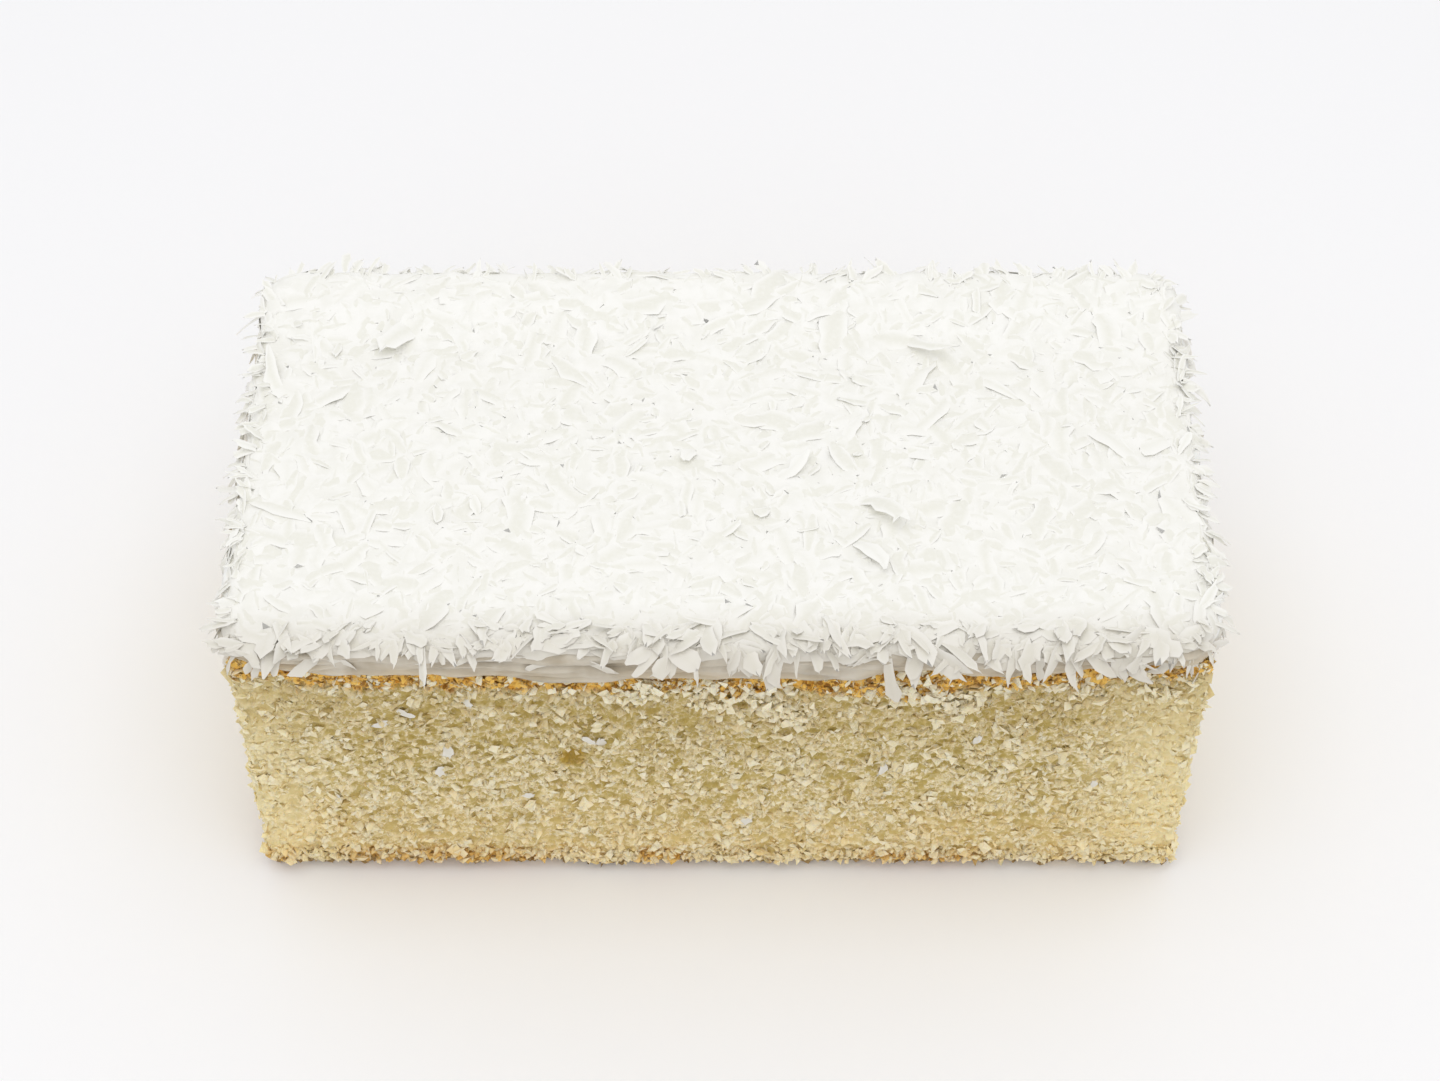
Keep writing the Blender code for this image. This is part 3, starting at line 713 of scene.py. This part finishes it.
def topping_piece(piece):
    """Attaches a piece of the icing, or of the coconut that sticks in it, to the cake, hiding its part."""
    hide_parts("coconut_icing")
    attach(piece, "root")


icing_points = np.vstack([rings.reshape(-1, 3), icing_caps])
icing = add_piece("icing", icing_points, ring_faces(len(profile), around), icing_white)
over_sponge = icing_points[:, 2] - top_level(icing_points[:, 0])
from_front = icing_points[:, 1] + ICING_Y - ICING_SHIFT
note(icing, "over_sponge", over_sponge)
# Up the rim on the ends and the back, the icing is kept out of the painted shade.
note(icing, "kept_out_of_shade", np.clip(over_sponge / MM - 0.8, 0, 1) * np.clip((from_front / MM - 1.0) / 2.5, 0, 1))
topping_piece(icing)

# THE COCONUT ON TOP
# Flesh of the nut, shaved into thin white ribbons with torn edges, some of them broken into short flakes. It
# is strewn over the fresh icing until nothing shows through, and each piece rests on those under it.
SHREDS = 1250
SHRED_LENGTH = (4.0 * MM, 10.0 * MM)
SHRED_WIDTH = (1.6 * MM, 4.0 * MM)
SHRED_SECTIONS = 7
SHREDS_STANDING = 0.006
FLAKES = 1500
FLAKE_LENGTH = (1.8 * MM, 4.6 * MM)
FLAKE_WIDTH = (0.8 * MM, 2.2 * MM)
FLAKE_SECTIONS = 5
FLAKES_STANDING = 0.02
SHAVING_THICKNESS = (0.12 * MM, 0.22 * MM)
EDGE_SHARE = 0.3
HEAP_CHART = 0.5 * MM
HEAP_MARGIN = 4 * MM
STREWN_BATCHES = 14
STRAYING = 0.5 * MM
EVEN_X = 0.7548776662
EVEN_Y = 0.5698402910
END_SHARE = 0.16
STICKING_OUT = 1.6 * MM
DRAPE = 0.75
BACK_SWELL = 1.5 * MM
BACK_SWELL_WIDTH = 12 * MM
SWELL_FADE = 2.2 * MM
RIM_WIDTH = 3 * MM
RIM_NARROWING = 0.5
OVER_THE_ENDS = 0.9 * MM
OVER_THE_BACK = 1.3 * MM


def from_hub(across, along):
    """The nearest place that a sheet's round corners are struck from, and how far beyond it a place lies."""
    hub_x = np.clip(across, -(ICING_X - ICING_CORNER), ICING_X - ICING_CORNER)
    hub_y = np.clip(along, -(ICING_Y - ICING_CORNER), ICING_Y - ICING_CORNER)
    return hub_x, hub_y, np.maximum(np.hypot(across - hub_x, along - hub_y), 1e-9)


def skin(across, along):
    """Points of the icing where a sheet laid over it has these places, and the ways out and to the rim."""
    hub_x, hub_y, beyond = from_hub(across, along)
    way = np.column_stack([(across - hub_x) / beyond, (along - hub_y) / beyond, np.zeros(len(across))])
    flat = ICING_CORNER - ICING_RIM
    turn = np.clip((beyond - flat) / ICING_RIM, 0, math.pi / 2)
    hang = np.maximum(0, beyond - flat - ICING_RIM * math.pi / 2)
    stretch = np.where(beyond < flat, beyond, flat + ICING_RIM * np.sin(turn))
    points = np.column_stack([hub_x + SPONGE_MIDDLE.x, hub_y + SPONGE_MIDDLE.y + ICING_SHIFT,
                              np.full(len(across), ICING_TOP)])
    points += way * stretch[:, None]
    points[:, 2] -= ICING_RIM * (1 - np.cos(turn)) + hang
    outs = way * np.sin(turn)[:, None]
    outs[:, 2] += np.cos(turn)
    return points, outs, way


def section_shares(sections):
    """How far along a ribbon each of its sections lies."""
    return np.concatenate([[0], np.linspace(END_SHARE, 1 - END_SHARE, sections - 2), [1]])


def shavings(draw, count, length, width, sections):
    """The points of ribbons along X, bowed, curved and twisted, with torn edges, and their measures."""
    lengths = length[0] + (length[1] - length[0]) * draw.random(count) ** 1.3
    widths = np.minimum(draw.uniform(*width, count), 0.6 * lengths)
    thick = draw.uniform(*SHAVING_THICKNESS, count)
    share = section_shares(sections)

    # How each bends and twists along its length.
    bow = draw.normal(0.28, 0.17, count)[:, None] * (share - 0.5)
    curve = draw.normal(0, 0.55, count)[:, None] * (share - 0.5)
    twist = draw.normal(0, 0.24, count)[:, None] * (share - 0.5)
    twist = twist + draw.normal(0, 0.05, (count, sections))
    tangent = np.stack([np.cos(curve) * np.cos(bow), np.sin(curve) * np.cos(bow), -np.sin(bow)], axis=-1)
    middle = np.cumsum(tangent * np.diff(share, prepend=0)[:, None], axis=1) * lengths[:, None, None]
    middle -= middle.mean(axis=1, keepdims=True)
    level = np.stack([-np.sin(curve), np.cos(curve), np.zeros_like(curve)], axis=-1)
    upright = np.cross(tangent, level)
    sideways = level * np.cos(twist)[..., None] + upright * np.sin(twist)[..., None]
    upright = np.cross(tangent, sideways)

    # Its outline: blunt or narrowing to one end, torn along both edges and ragged at both ends.
    blunt = draw.uniform(0.1, 0.6, count)[:, None]
    narrowing = draw.uniform(0.0, 1.0, count)[:, None] ** 1.3
    turned = np.where(draw.random(count)[:, None] < 0.5, share, 1 - share)
    taper = np.sin(math.pi * (0.07 + 0.86 * share))[None] ** blunt
    taper = taper * (1 - 0.85 * narrowing * turned ** 1.6)
    taper[:, 0] *= draw.uniform(0.2, 1.0, count)
    taper[:, -1] *= draw.uniform(0.05, 0.8, count)
    half = widths[:, None] / 2 * taper
    left = half * (1 + 0.2 * draw.standard_normal(half.shape))
    right = half * (1 + 0.2 * draw.standard_normal(half.shape))
    torn = np.zeros((count, sections, 3))
    longest = 0.7 * END_SHARE * lengths[:, None]
    ragged = draw.normal(0, 0.3, (2, count, 3)) * widths[:, None]
    torn[:, 0], torn[:, -1] = np.clip(ragged, -longest, longest)

    # The ring of points round each section: two thin edges and a slightly domed middle.
    rim = thick[:, None] / 2
    dome = (draw.uniform(0.02, 0.08, count) * widths)[:, None] * taper
    ring = ((left, EDGE_SHARE * rim, 0), (0 * half, rim + dome, 1), (-right, EDGE_SHARE * rim, 2),
            (-right, -EDGE_SHARE * rim, 2), (0 * half, dome - rim, 1), (left, -EDGE_SHARE * rim, 0))
    points = [middle + sideways * out[..., None] + upright * (up + 0 * half)[..., None]
              + tangent * torn[:, :, strand, None] for out, up, strand in ring]
    return np.stack(points, axis=2), lengths, widths, thick


def shaving_faces(count, sections, around):
    """The faces of that many ribbons, each with a ring of points at each of its sections."""
    sides = quads_between(sections, around, closed=True)
    ends = np.array([np.arange(around)[::-1], (sections - 1) * around + np.arange(around)])
    start = np.arange(count)[:, None, None] * sections * around
    return (start + sides).reshape(-1, 4).tolist() + (start + ends).reshape(-1, around).tolist()


def turned_frame(heading, out, pitch, roll):
    """Axes of pieces that head that way along a surface, pitched off it and rolled about their length."""
    heading = heading - out * np.sum(heading * out, axis=1)[:, None]
    heading /= np.linalg.norm(heading, axis=1)[:, None]
    side = np.cross(out, heading)
    along = heading * np.cos(pitch)[:, None] + out * np.sin(pitch)[:, None]
    over = np.cross(along, side)
    return np.stack([along, side * np.cos(roll)[:, None] + over * np.sin(roll)[:, None],
                     over * np.cos(roll)[:, None] - side * np.sin(roll)[:, None]], axis=1)


def round_off(across, along, over):
    """Places of the sheet, drawn in at its corners to reach no further over the rim than at its sides."""
    hub_x, hub_y, beyond = from_hub(across, along)
    share = np.minimum(1, (ICING_CORNER + over) / beyond)
    return hub_x + (across - hub_x) * share, hub_y + (along - hub_y) * share


# How high the coconut lies is kept in a chart of the sheet. Behind, it lies deeper from the start.
HEAP_X = ICING_X + HEAP_MARGIN
HEAP_Y = ICING_Y + HEAP_MARGIN
heap = np.zeros((int(2 * HEAP_X / HEAP_CHART) + 2, int(2 * HEAP_Y / HEAP_CHART) + 2))
heap_x = ((np.arange(heap.shape[0]) + 0.5) * HEAP_CHART - HEAP_X)[:, None]
heap_y = ((np.arange(heap.shape[1]) + 0.5) * HEAP_CHART - HEAP_Y)[None]
swell = np.clip((heap_y - ICING_Y) / BACK_SWELL_WIDTH + 1.3, 0, 1)
heap += (BACK_SWELL * swell ** 2 * (3 - 2 * swell) * np.clip((ICING_Y - heap_y) / SWELL_FADE + 0.5, 0, 1)
         * np.clip((ICING_X - np.abs(heap_x)) / SWELL_FADE + 0.5, 0, 1))


def heap_cells(across, along):
    """The heap chart's cells at places of the sheet."""
    column = np.clip(((across + HEAP_X) / HEAP_CHART).astype(int), 0, heap.shape[0] - 1)
    row = np.clip(((along + HEAP_Y) / HEAP_CHART).astype(int), 0, heap.shape[1] - 1)
    return column, row


def spread(draw, count):
    """Places of the sheet, each a little astray. The two even steps keep filling the widest gaps."""
    index = np.arange(count)
    reach_x, reach_y = ICING_X + OVER_THE_ENDS, ICING_Y + OVER_THE_BACK
    across = (((0.5 + index * EVEN_X) % 1) * 2 - 1) * reach_x + draw.normal(0, STRAYING, count)
    along = ((0.5 + index * EVEN_Y) % 1) * (reach_y + ICING_Y) - ICING_Y + draw.normal(0, STRAYING, count)
    return round_off(np.clip(across, -reach_x, reach_x), np.clip(along, -ICING_Y, reach_y), OVER_THE_BACK)


def headings(draw, across, along, lengths):
    """Where ribbons point: anywhere, but along the rim where they would stick out too far over it."""
    spin = draw.uniform(0, 2 * math.pi, len(across))
    heading = np.column_stack([np.cos(spin), np.sin(spin), 0 * spin])
    room_x = ICING_X + STICKING_OUT * draw.random(len(across)) - np.abs(across)
    room_y = ICING_Y + STICKING_OUT * draw.random(len(along)) - np.abs(along)
    too_far_x = np.abs(heading[:, 0]) * lengths / 2 > room_x
    too_far_y = np.abs(heading[:, 1]) * lengths / 2 > room_y
    tilt = draw.normal(0, 0.3, len(across))
    heading[too_far_x] = np.column_stack([np.sin(tilt), np.cos(tilt), 0 * tilt])[too_far_x]
    heading[too_far_y] = np.column_stack([np.cos(tilt), np.sin(tilt), 0 * tilt])[too_far_y]
    return heading


def strew(draw, local, lengths, widths, thick, standing_share):
    """Lays ribbons over the icing in batches, each on what already lies there, and returns their points."""
    count, sections = local.shape[:2]
    across, along = spread(draw, count)
    on_rim = (np.abs(across) > ICING_X - RIM_WIDTH) | (along > ICING_Y - RIM_WIDTH)
    local[on_rim, :, :, 1] *= RIM_NARROWING
    widths[on_rim] *= RIM_NARROWING
    heading = headings(draw, across, along, lengths)
    standing = draw.random(count) < standing_share
    from_middle = section_shares(sections) - 0.5
    steps = np.linspace(-0.45, 0.45, 9)
    between = np.array([np.interp(steps, from_middle, row) for row in np.eye(sections)])
    placed = np.empty_like(local)
    for batch in np.array_split(draw.permutation(count), STREWN_BATCHES):
        # Each ribbon tips and rolls as the heap does under it, and a few stand up.
        x, y, way = across[batch], along[batch], heading[batch]
        long, wide, thin = lengths[batch], widths[batch], thick[batch]
        reach = long[:, None] * from_middle
        under_x, under_y = x[:, None] + way[:, :1] * reach, y[:, None] + way[:, 1:2] * reach
        levels = heap[heap_cells(under_x, under_y)]
        flank = wide * 0.4
        left = heap[heap_cells(x - way[:, 1] * flank, y + way[:, 0] * flank)]
        right = heap[heap_cells(x + way[:, 1] * flank, y - way[:, 0] * flank)]
        pitch = np.arctan2(levels[:, -2] - levels[:, 1], reach[:, -2] - reach[:, 1])
        pitch += draw.normal(0, 0.03, len(batch))
        lift = np.where(standing[batch], draw.uniform(0.12, 0.5, len(batch)), 0)
        roll = 0.75 * np.arctan2(left - right, 2 * flank) + draw.normal(0, 0.05, len(batch))

        # It rests on the heap's higher spots and sags most of the way down between them.
        rest = levels.mean(axis=1) * 0.7 + levels.max(axis=1) * 0.3 + thin * 0.5
        rest += np.sin(lift) * long * 0.32
        line = rest[:, None] + np.tan(pitch)[:, None] * reach
        sag = DRAPE * (levels + thin[:, None] * 0.5 - line) * (lift == 0)[:, None]
        sag[:, 1:-1] = (sag[:, :-2] + 2 * sag[:, 1:-1] + sag[:, 2:]) / 4
        points, outs, _ = skin(x, y)
        axes = turned_frame(way, outs, pitch + lift, roll)
        straight = (points + outs * rest[:, None])[:, None] + outs[:, None] * sag[..., None]
        level_way = turned_frame(way, outs, 0 * pitch, 0 * roll)[:, None, 0] * reach[..., None]
        under, under_outs, _ = (part.reshape(*reach.shape, 3)
                                for part in skin(under_x.ravel(), under_y.ravel()))
        draped = under - level_way + under_outs * (rest[:, None] + sag)[..., None]
        middle = np.where((lift == 0)[:, None, None], draped, straight)
        placed[batch] = middle[:, :, None] + np.einsum("nsri,nij->nsrj", local[batch], axes)

        # What lies flat raises the heap for the batches that follow.
        tops = (line + sag) @ between + thin[:, None] * 0.35
        forward = long[:, None] * steps
        lying = ~standing[batch]
        for offset in (-0.3, 0, 0.3):
            aside = wide[:, None] * offset
            column, row = heap_cells(x[:, None] + way[:, :1] * forward - way[:, 1:2] * aside,
                                     y[:, None] + way[:, 1:2] * forward + way[:, :1] * aside)
            np.maximum.at(heap, (column[lying], row[lying]), tops[lying])
    return placed.reshape(-1, 3)


# Coconut is a warm white with a painted highlight on each ribbon's thin edges, a shade deeper in its middle,
# and greyed by painted shade along the front edge and the lower it hangs against the icing.
COCONUT_LIT_EDGE = (0.955, 0.948, 0.916)
COCONUT_FLESH = (0.868, 0.860, 0.792)
COCONUT_PAINTED_SHADE = (0.64, 0.585, 0.485)
STRANDS_OFF_THE_HIGHLIGHT = (0, 1, 0, 0, 1, 0)
PAINTED_SHADE_REACH = 7.5 * MM
PAINTED_SHADE_DROP = 5.5 * MM
STUCK_BELOW = SPONGE_TOP - 5 * MM

coconut_white, tree, shader = new_material("coconut_white", 0.55, 0.3)
place = on_the_cake(tree)
fibre = clouds(place, 1500.0, 3.0)
# The ribbons' thin edges keep the pale colour as a painted highlight, their middles take the deeper flesh.
flesh = layered(COCONUT_LIT_EDGE, (ease(attribute(tree, "tint_off_lit_edges"), 0.0, 0.6), COCONUT_FLESH),
                (ease(fibre, 0.4, 0.75, 0.0, 0.35), COCONUT_LIT_EDGE),
                (attribute(tree, "painted_shade"), COCONUT_PAINTED_SHADE))
tree.links.new(flesh, shader.inputs["Base Color"])
roughen(shader, fibre, 0.1, 0.1 * MM)


def painted_shade_at(points):
    """How much painted shade the coconut takes: most along the front edge, and more the lower it hangs."""
    front = np.clip(1 - (points[:, 1] + ICING_Y - ICING_SHIFT) / PAINTED_SHADE_REACH, 0, 1)
    low = np.clip((ICING_TOP + 1.0 * MM - points[:, 2]) / PAINTED_SHADE_DROP, 0, 1)
    return 0.42 * front + low * (0.25 + 0.12 * front)


def coconut_piece(name, draw, points, count, sections):
    """A kind of coconut as a piece, each ribbon toned its own way, with painted highlights on its edges."""
    piece = add_piece(name, points, shaving_faces(count, sections, len(STRANDS_OFF_THE_HIGHLIGHT)), coconut_white)
    piece.data.set_sharp_from_angle(angle=math.radians(50))
    # Each ribbon's own tone is kept off its edges, which stay a painted highlight; its ends take less of it.
    shades = (0.25 + 0.75 * draw.random(count))[:, None, None] * np.tile(STRANDS_OFF_THE_HIGHLIGHT, (sections, 1))[None]
    shades[:, [0, -1]] *= 0.3
    note(piece, "tint_off_lit_edges", shades)
    # Coconut stuck on the sponge's cut takes a fixed half share of the painted shade.
    note(piece, "painted_shade", np.where(points[:, 2] < STUCK_BELOW, 0.5, painted_shade_at(points)))
    topping_piece(piece)


draw = np.random.default_rng(23)
shreds = shavings(draw, SHREDS, SHRED_LENGTH, SHRED_WIDTH, SHRED_SECTIONS)
coconut_piece("coconut_shreds", draw, strew(draw, *shreds, SHREDS_STANDING), SHREDS, SHRED_SECTIONS)
flakes = shavings(draw, FLAKES, FLAKE_LENGTH, FLAKE_WIDTH, FLAKE_SECTIONS)
coconut_piece("coconut_flakes", draw, strew(draw, *flakes, FLAKES_STANDING), FLAKES, FLAKE_SECTIONS)

# The icing has come up between the ribbons and holds them, so that the gaps between them are shallow.
BED_RISE = 0.04 * MM
BED_RIPPLE = 0.06 * MM
BED_RIPPLE_SIZE = 1.6 * MM
BED_THINNEST = 0.1 * MM
BED_HANG = 1.2 * MM
BED_PALE = (0.955, 0.948, 0.918)
BED_WARM = (0.910, 0.903, 0.857)

bed_white, tree, shader = new_material("bed_white", 0.5, 0.3)
place = on_the_cake(tree)
# The bed takes the same painted shade as the coconut, along the front edge and low down.
flesh = layered(BED_PALE, (ease(clouds(place, 400.0, 3.0), 0.35, 0.65), BED_WARM),
                (attribute(tree, "painted_shade"), COCONUT_PAINTED_SHADE))
tree.links.new(flesh, shader.inputs["Base Color"])
bed = heap.copy()
for shift in ((1, 0), (-1, 0), (0, 1), (0, -1)):
    bed = np.maximum(bed, np.roll(heap, shift, axis=(0, 1)))
bed = (bed + heap) / 2
inner = bed[1:-1, 1:-1]
bed[1:-1, 1:-1] = (inner * 2 + bed[:-2, 1:-1] + bed[2:, 1:-1] + bed[1:-1, :-2] + bed[1:-1, 2:]) / 6
bed_x = np.linspace(-ICING_X - BED_HANG, ICING_X + BED_HANG, round(2 * ICING_X / HEAP_CHART))
bed_y = np.linspace(-ICING_Y - BED_HANG, ICING_Y + BED_HANG, round(2 * ICING_Y / HEAP_CHART))
across, along = round_off(*(grid.ravel() for grid in np.meshgrid(bed_x, bed_y)), BED_HANG)
points, outs, _ = skin(across, along)
ripples = noise_at(points, BED_RIPPLE_SIZE, 7.0)
thickness = np.maximum(bed[heap_cells(across, along)] + BED_RISE, BED_THINNEST) + BED_RIPPLE * ripples
points += outs * thickness[:, None]
bed_faces = quads_between(len(bed_y), len(bed_x)).tolist()
icing_between = add_piece("icing_between", points, bed_faces, bed_white)
note(icing_between, "painted_shade", painted_shade_at(points))
topping_piece(icing_between)

# THE COCONUT FRINGE
# Shreds of the same coconut that fell over the edge. They stick in the icing by one end and droop in front
# of it, ragged and close together round the rim. A few long ones hang past the crust in front of the sponge.
FRINGE_ROOTS = 330
FAN = 3
FRINGE_LENGTH = (2.4 * MM, 6.0 * MM)
FRINGE_WIDTH = (0.7 * MM, 2.5 * MM)
FRINGE_SECTIONS = 6
FRONT_SIZE = 1.15
BEHIND_SIZE = 0.7
BEHIND_SPREAD = 0.45
TIPS_HIGHER = 0.6 * MM
DROOPING_LOWER = 0.9 * MM
BARE_SIZE = 0.75
BARE_HIGHER = 1.4 * MM
BARE_STRETCH = (-55 * MM, -10 * MM)
HANGING = 150
HANGING_LENGTH = (3.0 * MM, 6.0 * MM)
HANGING_WIDTH = (0.8 * MM, 1.7 * MM)
RIM_HELD = 0.28
HANGING_HELD = 0.40
FRONT_LIFT = 0.08

# The shreds that hang in front: X, how far down the icing's side they start and length in mm, sway in
# radians, and width in mm.
FRONT_SHREDS = (
    (-61.5, -1.0, 5.0, -1.0, 1.6), (-56.5, -0.5, 3.6, 0.1, 1.2), (-51.0, -0.5, 5.5, 0.8, 1.9),
    (-49.0, 1.2, 3.0, -1.2, 1.2), (-38.6, -2.2, 9.0, -0.18, 1.6), (-31.0, -0.8, 4.0, 0.8, 1.2),
    (-21.5, 0.6, 4.6, 1.1, 1.3), (-17.5, 0.6, 5.0, -1.1, 2.3), (-2.6, -1.0, 6.0, 0.12, 0.9),
    (8.0, -1.0, 5.5, 0.55, 1.0), (10.0, -0.6, 4.2, 0.1, 0.8), (11.5, -1.0, 4.6, -0.35, 1.3),
    (13.2, -0.8, 4.0, -0.6, 0.9), (21.5, 0.2, 7.2, -0.15, 2.3), (27.5, -2.2, 9.0, -0.75, 1.8),
    (41.0, 1.0, 3.8, 0.0, 1.2), (47.0, -0.5, 4.0, 0.6, 1.1), (57.0, 0.6, 3.6, 0.5, 1.4))

# The coconut crumbs that stick to the cut in front: X and height in mm, and length.
STUCK_CRUMBS = (
    (-17.2, 30.8, 2.0), (-15.9, 29.6, 2.6), (-37.5, 23.4, 2.2), (-44.8, 34.2, 2.2), (-41.3, 36.6, 2.4),
    (-36.6, 28.2, 2.6), (-33.0, 38.5, 1.8), (21.8, 24.2, 2.2), (34.0, 30.5, 2.0), (-52.0, 17.5, 1.6),
    (50.5, 20.5, 1.8), (3.5, 12.0, 2.2), (-26.0, 18.0, 1.6))


def droop(draw, local, lengths, run, down, sway, lift, held, above=0):
    """Ribbons that stick out of the icing's edge at these runs, from that far down, swayed off straight."""
    count = len(run)
    x, y, out_x, out_y = edge.read(run)
    across, along = x - SPONGE_MIDDLE.x + out_x * down, y - SPONGE_MIDDLE.y + out_y * down
    points, outs, ways = skin(across, along)
    fall = ways * outs[:, 2:]
    fall[:, 2] = -np.hypot(outs[:, 0], outs[:, 1])
    fall /= np.linalg.norm(fall, axis=1)[:, None]
    sway = sway[:, None]
    heading = fall * np.cos(sway) + np.cross(fall, outs) * np.sin(sway)
    axes = turned_frame(heading, outs, lift, draw.normal(0, 0.4, count))
    above = above * heap[heap_cells(across, along)] + draw.uniform(0.05, 0.4, count) * MM
    middle = points + axes[:, 0] * (lengths * held)[:, None] + outs * above[:, None]
    return (middle[:, None, None] + np.einsum("nsri,nij->nsrj", local, axes)).reshape(-1, 3)


draw = np.random.default_rng(31)
fringe_count = FRINGE_ROOTS * FAN
local, lengths, _, _ = shavings(draw, fringe_count, FRINGE_LENGTH, FRINGE_WIDTH, FRINGE_SECTIONS)
run = np.repeat((np.arange(FRINGE_ROOTS) + draw.random(FRINGE_ROOTS)) / FRINGE_ROOTS * edge.around, FAN)
run += draw.normal(0, 0.5 * MM, fringe_count)
sway = np.repeat(draw.normal(0, 0.75, FRINGE_ROOTS), FAN) + draw.normal(0, 0.4, fringe_count)
down = np.repeat(draw.uniform(-4.6, 0.9, FRINGE_ROOTS), FAN) * MM
lift = np.abs(draw.normal(0, 0.2, fringe_count))
behind = run % edge.around < edge.front_start
rim_tip = behind & (np.arange(fringe_count) // FAN % 2 == 0)
drooping = behind & ~rim_tip
down[behind] *= BEHIND_SPREAD
down[rim_tip] -= TIPS_HIGHER
down[drooping] += DROOPING_LOWER
lift[rim_tip] += draw.normal(0.1, 0.12, rim_tip.sum())
local[behind] *= BEHIND_SIZE
local[~behind] *= FRONT_SIZE
x, y, _, _ = edge.read(run)
bare = (y < 0) & (x > BARE_STRETCH[0]) & (x < BARE_STRETCH[1])
down[bare] = np.minimum(down[bare], -BARE_HIGHER)
local[bare] *= BARE_SIZE
on_heap = np.where(rim_tip, 0.8, np.clip(-0.4 * down / MM, 0, 0.9))
rim_points = droop(draw, local, lengths, run, down, sway, lift, RIM_HELD, on_heap)

local, lengths, _, _ = shavings(draw, HANGING, HANGING_LENGTH, HANGING_WIDTH, FRINGE_SECTIONS)
run = (np.arange(HANGING) + draw.random(HANGING)) / HANGING * edge.around
run = run[run < edge.front_start]
local, lengths = local[:len(run)], lengths[:len(run)]
hung_points = droop(draw, local, lengths, run, draw.uniform(-1.5, 1.8, len(run)) * MM,
                    draw.normal(0, 0.5, len(run)), np.abs(draw.normal(0, 0.15, len(run))), HANGING_HELD)
hung_count = len(run)

places, starts, long, sways, wide = np.array(FRONT_SHREDS).T
local = shavings(draw, len(places), (MM, MM), (0.25 * MM, 0.25 * MM), FRINGE_SECTIONS)[0]
local = local * np.column_stack([long, wide / 0.25, np.ones(len(places))])[:, None, None]
run = edge.front_start + places * MM + ICING_X - ICING_CORNER
front_points = droop(draw, local, long * MM, run, starts * MM, sways,
                     np.full(len(places), FRONT_LIFT), HANGING_HELD)

stuck_x, stuck_z, long = np.array(STUCK_CRUMBS).T * MM
local = shavings(draw, len(long), (MM, MM), (0.6 * MM, 0.6 * MM), FRINGE_SECTIONS)[0]
local = local * np.column_stack([long / MM, long / MM, np.ones(len(long))])[:, None, None]
run = cut.front_start + stuck_x + SPONGE_X - SPONGE_CORNER
middles, outs = on_the_cut(run, stuck_z / top_level(stuck_x), np.full(len(long), 0.35 * MM))
spin = draw.uniform(0, math.pi, len(long))
heading = np.column_stack([np.cos(spin), np.zeros(len(long)), np.sin(spin)])
axes = turned_frame(heading, outs, draw.normal(0, 0.25, len(long)), draw.normal(0, 0.3, len(long)))
stuck_points = (middles[:, None, None] + np.einsum("nsri,nij->nsrj", local, axes)).reshape(-1, 3)
coconut_piece("coconut_fringe", draw, np.vstack([rim_points, hung_points, front_points, stuck_points]),
              fringe_count + hung_count + len(places) + len(stuck_x), FRINGE_SECTIONS)
